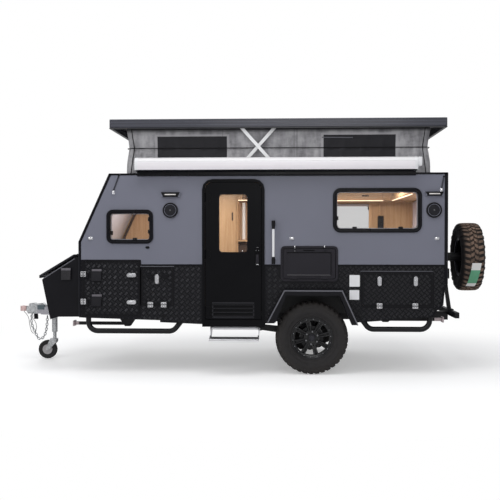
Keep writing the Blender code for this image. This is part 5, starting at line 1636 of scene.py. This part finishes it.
def canvas_sheet():
    """The tent wall as one thin closed sheet, from the deck to the roof, with its UV in metres."""
    shape = Shape()
    uv = shape.bm.loops.layers.uv.new("cloth")
    base = walk(perimeter(), STEP_ALONG)
    middle = (CANVAS_LOW[0] + CANVAS_HIGH[0]) / 2
    row_height = (CANVAS_HEAD - CANVAS_FOOT) / CANVAS_ROWS
    rings = []
    for row in range(CANVAS_ROWS + 1):
        share = row / CANVAS_ROWS
        z = CANVAS_FOOT + (CANVAS_HEAD - CANVAS_FOOT) * share
        pull, bulge = drawn_in(share)
        hem = min(1.0, share * HEM_ROWS, (1 - share) * HEM_ROWS)
        ring = []
        for number, (spot, out) in enumerate(base):
            at_end = min(1.0, max(0.0, (abs(spot.x - middle) - END_FROM) / END_OVER))
            x = spot.x + (-1 if spot.x > middle else 1) * pull * at_end
            y = spot.y + (-1 if spot.y > 0 else 1) * pull * 0.5
            lift = (bulge + folds(number * STEP_ALONG, share)) * hem
            ring.append(shape.bm.verts.new((x + out.x * lift, y + out.y * lift, z)))
        rings.append(ring)
    for row, (low, high) in enumerate(zip(rings, rings[1:])):
        for number in range(len(base)):
            after = (number + 1) % len(base)
            face = shape.bm.faces.new((low[number], low[after], high[after], high[number]))
            corners = ((number, row), (number + 1, row), (number + 1, row + 1), (number, row + 1))
            for loop, (step, height) in zip(face.loops, corners):
                loop[uv].uv = (step * STEP_ALONG, height * row_height)
    return shape


# mesh windows on the near side: X of both ends, Z of foot and head
MESH_WINDOWS = (((-0.918, -0.144), (2.39, 2.624)), ((0.923, 1.713), (2.39, 2.635)))
SEWN_EDGE = (0.028, 0.03, 0.022)  # beside, below and above a mesh window
SEAMS_X = (-0.19, 0.600, 0.632)
SEAM_HALF = 0.004
NEAR_SIDE_Y = -0.5
ROOF_SHADE = (2.664, 2.702)  # heights over which the cloth is painted dark under the roof: painted shade


def total(masks):
    """One mask from several that don't overlap."""
    first, *others = masks
    return sum(others, first)


def canvas_cloth():
    """Grey canvas with mesh windows in sewn edges and upright seams on the near side; painted shade under the
    roof.
    """
    finish = Finish("canvas_grey", (0.30, 0.30, 0.31), 0.8)
    x, y, z = (finish.axis(letter) for letter in "XYZ")
    near = y < NEAR_SIDE_Y
    beside, below, above = SEWN_EDGE
    window = total((x > x0) * (x < x1) * (z > z0) * (z < z1) for (x0, x1), (z0, z1) in MESH_WINDOWS)
    border = total(
        (x > x0 - beside) * (x < x1 + beside) * (z > z0 - below) * (z < z1 + above)
        for (x0, x1), (z0, z1) in MESH_WINDOWS
    )
    seam = total((x > line - SEAM_HALF) * (x < line + SEAM_HALF) for line in SEAMS_X)
    crush = finish.noise(11.0, 5.0, 0.7, (1, 1, 2.2))
    crease_shade_and_bump = finish.noise(4.2, 3.0, 0.5, (3.4, 3.4, 1.0))
    # the crease noise lightens and darkens the colour: painted light and shade of folds, over a random tone
    tone = finish.ramp(finish.noise(3.5, 4.0, 0.6) * 0.42 + crease_shade_and_bump * 0.38 + crush * 0.2, 0.40, 0.60)
    canvas = finish.mix(tone, (0.175, 0.172, 0.184), (0.41, 0.405, 0.42))
    hemmed = finish.mix(border * near * 0.65, canvas, (0.40, 0.39, 0.41))
    seamed = finish.mix(seam * near * 0.6, hemmed, (0.12, 0.12, 0.125))
    meshed = finish.mix(window * near, seamed, (0.012, 0.0115, 0.015))
    finish.set("Base Color", finish.mix(finish.ramp(z, *ROOF_SHADE), meshed, (0.012, 0.012, 0.014)))
    bands = {"wave_type": "BANDS", "bands_direction": "DIAGONAL"}
    weave = finish.node("ShaderNodeTexWave", bands, {"Vector": finish.coords(), "Scale": 260.0})
    finish.bump(crease_shade_and_bump * 0.6 + crush * 0.35 + weave * 0.05, 0.012, 0.5)
    return finish.material


def squashed(piece):
    """Gives a piece a mesh of its own."""
    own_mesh(piece)


tent = canvas_sheet().piece("tent_wall", canvas_cloth(), smooth=60)
solidify = tent.modifiers.new("thickness", "SOLIDIFY")
solidify.thickness = 0.0016
solidify.offset = -1.0
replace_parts(tent, "canvas_skirt")
squashed(tent)

# the shock cord in its sleeve, the piping down the four corners, and the rolled-up flap's bar
cord_outline = [Vector((x, y, CORD_Z)) for x, y in perimeter(CORD_LAY)]
sleeve = Shape().tube([cord_outline[-1], *cord_outline], 0.0042, 6)
squashed(sleeve.piece("cord_sleeve", plain_rubber, slot="canvas_grey"))
PIPING_STEPS = 12
piping = Shape()
for x, inward in ((CANVAS_LOW[0] + 0.06, 1), (CANVAS_HIGH[0] - 0.06, -1)):
    for side in SIDES.values():
        points = []
        for step in range(PIPING_STEPS + 1):
            share = step / PIPING_STEPS
            pull = drawn_in(share)[0]
            z = CANVAS_FOOT + 0.01 + (CANVAS_HEAD - CANVAS_FOOT - 0.02) * share
            points.append((x + inward * pull * 0.9, side * (0.944 - pull * 0.5), z))
        piping.tube(points, 0.0048, 6)
squashed(piping.piece("canvas_piping", plain_rubber, slot="canvas_grey"))
flap_bar = Shape().rod((0.905, -0.9395, 2.607), (1.245, -0.9395, 2.603), 0.006, 8)
squashed(flap_bar.piece("window_flap_bar", edge_grey, slot="canvas_grey"))

# %% [markdown]
# The awning is rolled up in its cassette. The face is one extrusion with a crown painted lighter as a
# highlight, a fine shadow line a third of the way down and a lip at the foot; moulded caps close both ends,
# and a black rail below it carries the load into the wall.

# %% Awning cassette
CASSETTE_X = (-1.128, 1.919)
# Y and Z round the section
CASSETTE = [
    (-1.056, 2.226), (-1.056, 2.362), (-1.086, 2.3715), (-1.125, 2.372), (-1.16, 2.364), (-1.183, 2.348),
    (-1.1925, 2.328), (-1.1915, 2.3235), (-1.1945, 2.3195), (-1.195, 2.29), (-1.1925, 2.26), (-1.185, 2.242),
    (-1.186, 2.238), (-1.178, 2.229), (-1.16, 2.226),
]
CASSETTE_MIDDLE, CAP_GROWTH = Vector((-1.120, 2.298)), 1.012
SHADOW_LINE_Z = 2.3215
RAIL = [(-1.0505, 2.176), (-1.0505, 2.24), (-1.182, 2.24), (-1.186, 2.231), (-1.176, 2.2265), (-1.08, 2.22),
        (-1.062, 2.176)]
RAIL_SCREWS, RAIL_SCREW_PITCH = 6, 0.52


def cassette_paint():
    """White powder coat, painted lighter above the shadow line: a painted highlight on the crown."""
    finish = Finish("awning_white", (0.80, 0.80, 0.80), 0.32)
    highlight_band = finish.axis("Z") > SHADOW_LINE_Z
    finish.set("Base Color", finish.mix(highlight_band, (0.78, 0.755, 0.785), (0.70, 0.69, 0.705)))
    return finish.material


x0, x1 = CASSETTE_X
face = Shape().prism(CASSETTE, x0 + 0.03, x1 - 0.03, "X")
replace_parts(face.piece("awning_face", cassette_paint(), smooth=30), "awning_cassette")
caps = Shape()
grown = [tuple(CASSETTE_MIDDLE + (Vector(point) - CASSETTE_MIDDLE) * CAP_GROWTH) for point in CASSETTE]
for start, end in ((x0, x0 + 0.032), (x1 - 0.032, x1)):
    caps.prism(grown, start, end, "X", 0.003, 2)
caps.block((x1, -1.186, 2.270), (x1 + 0.042, -1.060, 2.366), 0.006, 2)
caps.piece("awning_end_caps", white_plastic)
rail = Shape().prism(RAIL, x0 + 0.006, x1 - 0.006, "X", 0.001)
rail.block((x0 + 0.012, -1.102, 2.186), (x1 - 0.012, -1.060, 2.2225), 0.003)
for number in range(RAIL_SCREWS):
    rail.ball((x0 + 0.25 + number * RAIL_SCREW_PITCH, -1.1025, 2.200), 0.0045, 8, (1, 0.6, 1))
rail.piece("awning_rail", strip_black)
print("top made")

# %% [markdown]
# The door, the table and the handle carry the small bright points that the eye goes to: a lock with a chrome
# collar, a ribbed vent, two turn buttons, and a handle with a milky middle part between tapered black ends.

# %% Door furniture
DOOR_FACE = -1.060
DOOR_PANE = ((-0.22, 1.343), (0.088, 1.974))
VENT_RIBS, VENT_RIB_PITCH = 4, 0.042
HANDLE_X = 0.199
# bright parts beside the handle: X from the handle's middle, then Z
LOCK_PARTS = ((-0.019, 0.017, 1.359, 1.367), (-0.013, 0.013, 1.392, 1.396), (-0.014, 0.014, 1.204, 1.216))
vent_grey = powder_coat("vent_grey", (0.020, 0.020, 0.024), 0.45)
outline = rounded((-0.299, 0.620), (0.165, 0.794), 0.008)
vent = Shape().ring(outline, 0.014, DOOR_FACE, DOOR_FACE - 0.006, bevel=0.001)
for number in range(VENT_RIBS):
    z = 0.640 + number * VENT_RIB_PITCH
    vent.block((-0.292, DOOR_FACE - 0.0135, z - 0.003), (0.158, DOOR_FACE - 0.004, z + 0.002), 0.001)
vent.piece("door_vent", vent_grey, "entry_door")

outline = rounded(*grow(*DOOR_PANE, 0.011), 0.045, 8)
seal = Shape().ring(outline, 0.0125, DOOR_FACE + 0.001, DOOR_FACE - 0.0045, "Y", 0.0015)
seal.piece("door_window_seal", strip_black, "entry_door")
low, high = (HANDLE_X - 0.0165, DOOR_FACE - 0.0335, 1.222), (HANDLE_X + 0.0165, DOOR_FACE - 0.006, 1.318)
Shape().block(low, high, 0.006, 2).piece("door_handle_grip", table_grey, "entry_door")
near, far = DOOR_FACE - 0.020, DOOR_FACE - 0.006
bright = Shape().rod((HANDLE_X, far, 1.335), (HANDLE_X, near, 1.335), 0.0105, 20, bevel=0.0015)
for x0, x1, z0, z1 in LOCK_PARTS:
    bright.block((HANDLE_X + x0, near, z0), (HANDLE_X + x1, far, z1), 0.002)
bright.ball((0.036, DOOR_FACE - 0.004, 1.356), 0.0075, 12, (1, 0.6, 1))
bright.piece("door_lock", steel, "entry_door")

# %% Table and grab handle
TABLE_FACE = -1.062
lines = Shape()
lines.block((0.522, TABLE_FACE - 0.0068, 1.333), (1.000, TABLE_FACE, 1.343), 0.001)
lines.block((0.700, TABLE_FACE - 0.003, 1.356), (0.823, TABLE_FACE + 0.002, 1.368), 0.002)
lines.block((0.996, TABLE_FACE - 0.0068, 1.100), (1.003, TABLE_FACE, 1.343), 0.001)
lines.piece("table_lines", door_black, "table_leaf")
foot_line = Shape().block((0.524, TABLE_FACE - 0.0085, 1.088), (0.995, TABLE_FACE + 0.001, 1.1005), 0.0015)
foot_line.piece("table_foot_line", powder_coat("line_grey", (0.062, 0.060, 0.066), 0.4), "table_leaf")
buttons = Shape()
for x in (0.607, 0.930):
    buttons.ball((x, -1.064, 1.404), 0.0085, 14, (0.9, 0.9, 1.7))
buttons.rod((0.607, -1.0635, 1.392), (0.607, -1.0635, 1.352), 0.0028, 8)
buttons.piece("table_buttons", steel)

HANDLE = (0.374, -1.112)
ends = Shape()
# foot and tip of each end, and the span of its block on the wall
for foot, tip, z0, z1 in ((1.216, 1.296, 1.220, 1.278), (1.687, 1.594, 1.625, 1.683)):
    ends.rod((*HANDLE, foot), (*HANDLE, tip), 0.0205, 16, tip=0.0150, bevel=0.002)
    ends.block((HANDLE[0] - 0.0195, HANDLE[1] + 0.004, z0), (HANDLE[0] + 0.0195, -1.0503, z1), 0.007, 2)
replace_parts(ends.piece("handle_ends", plastic_black), "grab_handle")
Shape().rod((*HANDLE, 1.292), (*HANDLE, 1.598), 0.0142, 20).piece("handle_middle", white_plastic)

# %% [markdown]
# The vents on the boot doors and on the front box are pressed hoods, open downwards, with a light grey strip
# on their sloping tops as a painted highlight. The arch trims carry a light grey line on their outer edge,
# also a painted highlight, and the box lid has a rolled rim.

# %% Hoods on the boot doors and the front box
hood_grey = powder_coat("hood_grey", (0.0125, 0.0122, 0.0150), 0.5)
hood_light = powder_coat("hood_light", (0.125, 0.118, 0.132), 0.45)
box_hood = powder_coat("box_hood", (0.030, 0.029, 0.032), 0.5)
HOOD_X, BOX_HOOD_X = (-1.63, -1.525), (-1.980, -1.878)
HOOD_Z = {"low": 0.81, "high": 1.089}
HOOD_HALF = 0.065
HOOD_RIBS = 6


def ribbed_hood(name, x_range, z, side, face, depth, finish, body=BODY):
    """A hood whose face slopes out downwards, with fine upright ribs and a light grey top strip: painted
    highlight.
    """
    x0, x1 = x_range
    head, foot, back, out = z + HOOD_HALF, z - HOOD_HALF, face - 0.002, face + depth
    slope = [(back, head), (face + 0.009, head), (out, foot + 0.004), (out, foot), (back, foot)]
    hood = Shape().prism([(side * y, height) for y, height in slope], x0 - 0.001, x1 + 0.001, "X", 0.0015)
    for number in range(HOOD_RIBS):
        x = x0 + (x1 - x0) * (number + 0.5) / HOOD_RIBS
        hood.rod((x, side * (face + 0.0105), z + 0.030), (x, side * (out + 0.0005), foot + 0.006), 0.0018, 6)
    hood.piece(name, finish, body)
    # the light grey strip on the top edge: painted highlight
    ys = sorted((side * (face + 0.004), side * (face + 0.0135)))
    top = Shape().block((x0 - 0.001, ys[0], z + 0.040), (x1 + 0.004, ys[1], head + 0.001), 0.003)
    top.piece(f"{name}_top", hood_light, body)


for side_name, side in SIDES.items():
    door = f"boot_door_{side_name}"
    for level, z in HOOD_Z.items():
        ribbed_hood(f"hood_{level}_{side_name}", HOOD_X, z, side, 1.0505, 0.0325, hood_grey, door)
    ribbed_hood(f"box_hood_{side_name}", BOX_HOOD_X, 1.0985, side, 1.0195, 0.0130, box_hood)


# %% Arch trims, box rims and inner seals
def inner_line(points, by):
    """An open outline of (X, Z) moved to its right-hand side by a distance."""
    points = [Vector(point) for point in points]
    runs = [after - before for before, after in zip(points, points[1:])]
    out = [Vector((run.y, -run.x)).normalized() for run in runs]
    moved = []
    for point, before, after in zip(points, out[:1] + out, out + out[-1:]):
        moved.append(tuple(point + (before + after) * by / (1.0 + before.dot(after))))
    return moved


# a light grey line along the flare's outer edge: painted highlight
FLARE = [(0.309, 0.588), (0.491, 0.934), (1.121, 0.934), (1.29, 0.56)]
FLARE_FACE, FLARE_LINE = (1.1590, 1.1622), 0.0125
arch_line = powder_coat("arch_line", (0.135, 0.135, 0.155), 0.35)
for side_name, side in SIDES.items():
    outline = [*FLARE, *reversed(inner_line(FLARE, FLARE_LINE))]
    trim = Shape().prism(outline, side * FLARE_FACE[0], side * FLARE_FACE[1], bevel=0.001)
    trim.piece(f"arch_line_{side_name}", arch_line)

rims, lid_lines = Shape(), Shape()
for side in SIDES.values():
    rims.rod((-2.190, side * 1.001, 1.046), (-1.835, side * 1.001, 1.268), 0.0055, 8)
    lid_lines.rod((-2.222, side * 1.0095, 1.074), (-1.846, side * 1.0095, 1.3035), 0.0040, 8)
rims.piece("box_rim", edge_grey)
lid_lines.piece("box_lid_lines", plastic_grey, "front_box_lid")
latches = Shape()
for y in (-0.55, 0.55):
    latches.block((-2.236, y - 0.035, 1.040), (-2.212, y + 0.035, 1.075), 0.004, 2)
latches.piece("box_lid_latches", steel, "front_box_lid")
# the inner seals of the door and the two left lockers: low and high corner in X and Z, corner radius
INNER_SEALS = (
    ((-0.392, 0.590), (0.260, 2.125), 0.10),
    ((-1.050, 0.780), (-0.760, 1.140), 0.02),
    ((1.370, 0.775), (2.070, 1.095), 0.02),
)
seals = Shape()
for low, high, radius in INNER_SEALS:
    seals.ring(rounded(*grow(low, high, 0.020), radius, 8), 0.042, -1.0165, -1.0125)
seals.piece("inner_seals", plain_rubber)
skirt_cap = Shape().rod((-0.83, -1.0505, 0.64), (-0.83, -1.060, 0.64), 0.024, 20, tip=0.021, bevel=0.001)
skirt_cap.piece("skirt_cap", plastic_black)

# %% [markdown]
# At the hitch everything is bare metal. The slack safety chain is made of bent links that hook into each
# other; the breakaway cable hangs beside it in a loop of its own length. Both are the scene's own pieces.

# %% Chain and cable
CHAIN_Y = -0.0608
# X and Z
CHAIN_ROUTE = [
    (-2.62, 0.575), (-2.63, 0.5), (-2.631, 0.45), (-2.615, 0.392), (-2.581, 0.325), (-2.556, 0.267),
    (-2.526, 0.242), (-2.489, 0.259), (-2.464, 0.3), (-2.448, 0.35), (-2.436, 0.433), (-2.431, 0.5),
    (-2.431, 0.545),
]
LINK_PITCH, LINK_WIRE = 0.030, 0.0052
LINK_REACH, LINK_HALF_WIDTH = LINK_PITCH / 2 + 0.0035, 0.0135
LINK_STEPS = 16


def along_route(route, spacing):
    """Points at even spacing along a broken line."""
    found, left = [], 0.0
    for start, end in zip(route, route[1:]):
        start, end = Vector(start), Vector(end)
        run = (end - start).length
        while left < run:
            found.append(start.lerp(end, left / run))
            left += spacing
        left -= run
    return found


chain = Shape()
joints = [Vector((point.x, CHAIN_Y, point.y)) for point in along_route(CHAIN_ROUTE, LINK_PITCH)]
for number, (near, far) in enumerate(zip(joints, joints[1:])):
    ahead = (far - near).normalized()
    across = Vector((-ahead.z, 0, ahead.x)) if number % 2 else Vector((0, 1, 0))
    loop = []
    for step in range(LINK_STEPS + 1):
        turn = math.tau * step / LINK_STEPS
        bulge = ahead * (LINK_REACH * math.cos(turn)) + across * (LINK_HALF_WIDTH * math.sin(turn))
        loop.append((near + far) / 2 + bulge)
    chain.tube(loop, LINK_WIRE, 7)
chain.piece("chain_links", zinc, smooth=60)

CABLE_ROUTE = [
    (-2.722, -0.055, 0.5995), (-2.722, -0.055, 0.588), (-2.713, -0.053, 0.573), (-2.69, -0.05, 0.547),
    (-2.67, -0.044, 0.5), (-2.664, -0.04, 0.45), (-2.652, -0.036, 0.38), (-2.634, -0.034, 0.333),
    (-2.613, -0.033, 0.317), (-2.593, -0.033, 0.33), (-2.581, -0.033, 0.361), (-2.578, -0.033, 0.405),
    (-2.59, -0.032, 0.45), (-2.614, -0.031, 0.49), (-2.634, -0.03, 0.515), (-2.64, -0.03, 0.535),
    (-2.64, -0.03, 0.5475),
]
CABLE_DIAMETER = 0.006
CABLE_STEP = 0.006


def smooth_route(route, spacing):
    """Points along a smooth curve through every point of a route."""
    route = [Vector(point) for point in route]
    ends = [route[0] * 2 - route[1], *route, route[-1] * 2 - route[-2]]
    found = []
    for before, start, end, after in zip(ends, ends[1:], ends[2:], ends[3:]):
        count = max(1, round((end - start).length / spacing))
        for step in range(count):
            share = step / count
            near = start + (end - before) * (share / 2)
            far = end - (after - start) * ((1 - share) / 2)
            found.append(near.lerp(far, share * share * (3 - 2 * share)))
    return [*found, route[-1]]


cable_path = smooth_route(CABLE_ROUTE, CABLE_STEP)
cable_length = sum((second - first).length for first, second in zip(cable_path, cable_path[1:]))
cable = Shape().tube(cable_path, CABLE_DIAMETER / 2, 10).piece("cable_loop", plain_rubber, smooth=60)
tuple(CABLE_ROUTE[0])
[tuple(point) for point in cable_path]
print("breakaway cable", round(cable_length, 3), "m")

# %% Hitch and jockey wheel
LEVER = [(-2.616, 0.560), (-2.612, 0.490), (-2.566, 0.490), (-2.570, 0.560)]
Shape().prism(LEVER, -0.0135, 0.0135, bevel=0.002).piece("hitch_lever", plastic_black)
plate = Shape().block((-2.544, -0.098, 0.616), (-2.456, -0.070, 0.670), 0.002)
plate.piece("hitch_plate", flat_paint("plate_blue", (0.085, 0.115, 0.130)))
# X and Z of each bolt, and the face it sits on
HITCH_BOLTS = ((-2.588, 0.630, 0.045), (-2.588, 0.585, 0.045), (-2.655, 0.600, 0.045), (-2.400, 0.600, 0.118))
bolts = Shape()
for x, z, face in HITCH_BOLTS:
    for side in SIDES.values():
        bolts.rod((x, side * face, z), (x, side * (face + 0.009), z), 0.0105, 6)
bolts.piece("hitch_bolts", zinc)
hub_grey = flat_paint("hub_grey", (0.40, 0.385, 0.395), 0.5)
JOCKEY_X, JOCKEY_Z = -2.442, 0.115
discs = Shape()
for side in SIDES.values():
    near, far, tip = ((JOCKEY_X, side * y, JOCKEY_Z) for y in (0.0245, 0.0302, 0.0335))
    discs.rod(near, far, 0.061, 28, bevel=0.002)
    discs.rod(far, tip, 0.022, 16)
discs.piece("jockey_discs", hub_grey, "jockey_wheel")
crank = Shape().rod((-2.357, 0.125, 1.000), (-2.357, 0.125, 1.052), 0.0125, 14, bevel=0.002)
crank.piece("jockey_grip", plastic_black)

# %% [markdown]
# The tube bars beside the steps bend in long arcs and drop straight down at their outer ends. The solid frame
# has them cut off at the outriggers here and gets them again as smooth tubes. The spare's posts lean back to
# the wall.

# %% Side bars and spare carrier
BAR_Y = 0.995
BAR_RADIUS = 0.029
BAR_BEND = 0.10
BAR_CUT_Y, BAR_CUT_Z = 0.972, 0.590  # faces of the old bars lie outside and reach below these
# X and Z of each bar's corners, front to rear
SIDE_BARS = (
    ((-1.683, 0.636), (-1.683, 0.466), (-0.735, 0.466), (-0.600, 0.636)),
    ((1.321, 0.636), (1.42, 0.499), (2.079, 0.499), (2.079, 0.636)),
)


def bent(corners, radius, steps=6):
    """A path of (X, Z) through corners with its bends drawn as arcs."""
    path = [Vector(corners[0])]
    for before, corner, after in zip(corners, corners[1:], corners[2:]):
        corner = Vector(corner)
        back, ahead = (Vector(before) - corner).normalized(), (Vector(after) - corner).normalized()
        half = back.angle(ahead) / 2
        middle = corner + (back + ahead).normalized() * (radius / math.sin(half))
        first, last = (corner + way * (radius / math.tan(half)) - middle for way in (back, ahead))
        sweep = first.angle_signed(last)
        path += [middle + Matrix.Rotation(-sweep * step / steps, 2) @ first for step in range(steps + 1)]
    return [*path, Vector(corners[-1])]


frame = Shape()
frame.bm.from_mesh(nodes["chassis_frame"].data)
old_bars = [
    face for face in frame.bm.faces
    if all(abs(v.co.y) > BAR_CUT_Y for v in face.verts) and min(v.co.z for v in face.verts) < BAR_CUT_Z
]
bmesh.ops.delete(frame.bm, geom=old_bars, context="FACES")
bmesh.ops.holes_fill(frame.bm, edges=[edge for edge in frame.bm.edges if edge.is_boundary])
for side in SIDES.values():
    for corners in SIDE_BARS:
        frame.tube([(x, side * BAR_Y, z) for x, z in bent(corners, BAR_BEND)], BAR_RADIUS, 14)
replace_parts(frame.piece("frame_and_bars", chassis_paint), "chassis_frame")

CARRIER_BASE, CARRIER_KNEE = 0.6793, 0.905
spare_x, spare_y, spare_z = SPARE
lean = [(2.348, CARRIER_BASE), (2.392, CARRIER_BASE), (2.356, CARRIER_KNEE), (2.316, spare_z + 0.03),
        (2.274, spare_z + 0.03), (2.318, CARRIER_KNEE)]
low, high = (2.2775, spare_y - 0.42, spare_z - 0.03), (2.312, spare_y + 0.42, spare_z + 0.03)
carrier = Shape().block(low, high, 0.004)
for y in (spare_y - 0.40, spare_y + 0.40):
    carrier.prism(lean, y - 0.02, y + 0.02, bevel=0.003)
    carrier.block((2.345, y - 0.05, CARRIER_BASE), (2.412, y + 0.05, CARRIER_BASE + 0.012), 0.002)
carrier.rod((2.30, spare_y, spare_z), (spare_x + 0.0297, spare_y, spare_z), 0.05, 24)
carrier.rod((spare_x - 0.01, spare_y, spare_z), (spare_x + 0.02, spare_y, spare_z), 0.085, 28, bevel=0.002)
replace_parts(carrier.piece("spare_posts", frame_black), "spare_carrier")

# %% Tail lamps, step and lifter pins
LAMP_Y, LAMP_Z = (0.775, 0.985), (1.055, 1.165)
REVERSING_Y, INDICATOR_Y, LENS_Z = (0.79, 0.835), (0.84, 0.885), (1.072, 1.148)
lenses, amber, bezels = Shape(), Shape(), Shape()
for side in SIDES.values():
    low, high = sorted(side * y for y in LAMP_Y)
    bezels.ring(rounded((low, LAMP_Z[0]), (high, LAMP_Z[1]), 0.008), 0.008, 2.2596, 2.2925, "X", 0.001)
    for ys, shape in ((REVERSING_Y, lenses), (INDICATOR_Y, amber)):
        low, high = sorted(side * y for y in ys)
        shape.block((2.284, low, LENS_Z[0]), (2.2935, high, LENS_Z[1]), 0.002)
bezels.piece("tail_lamp_bezels", plastic_black)
lenses.piece("reversing_lenses", clear_lens)
amber.piece("indicator_lenses", amber_lens)

STEP_FRONT, STEP_TREADS, STEP_TREAD_PITCH = -0.300, 17, 0.031
treads = Shape()
for number in range(STEP_TREADS):
    x = STEP_FRONT + number * STEP_TREAD_PITCH
    treads.block((x - 0.0045, -1.196, 0.403), (x + 0.0045, -0.990, 0.4065), 0.001)
treads.piece("step_grips", aluminium, "entry_step")
LIFTER_X, LIFTER_REACH, LIFTER_Z = 0.202, 0.25, 2.228
pins = Shape()
for x in (LIFTER_X - LIFTER_REACH, LIFTER_X + LIFTER_REACH):
    for side in SIDES.values():
        pins.rod((x, side * 0.9935, LIFTER_Z), (x, side * 0.9985, LIFTER_Z), 0.0095, 14)
pins.piece("lifter_foot_pins", zinc)
print("details made")
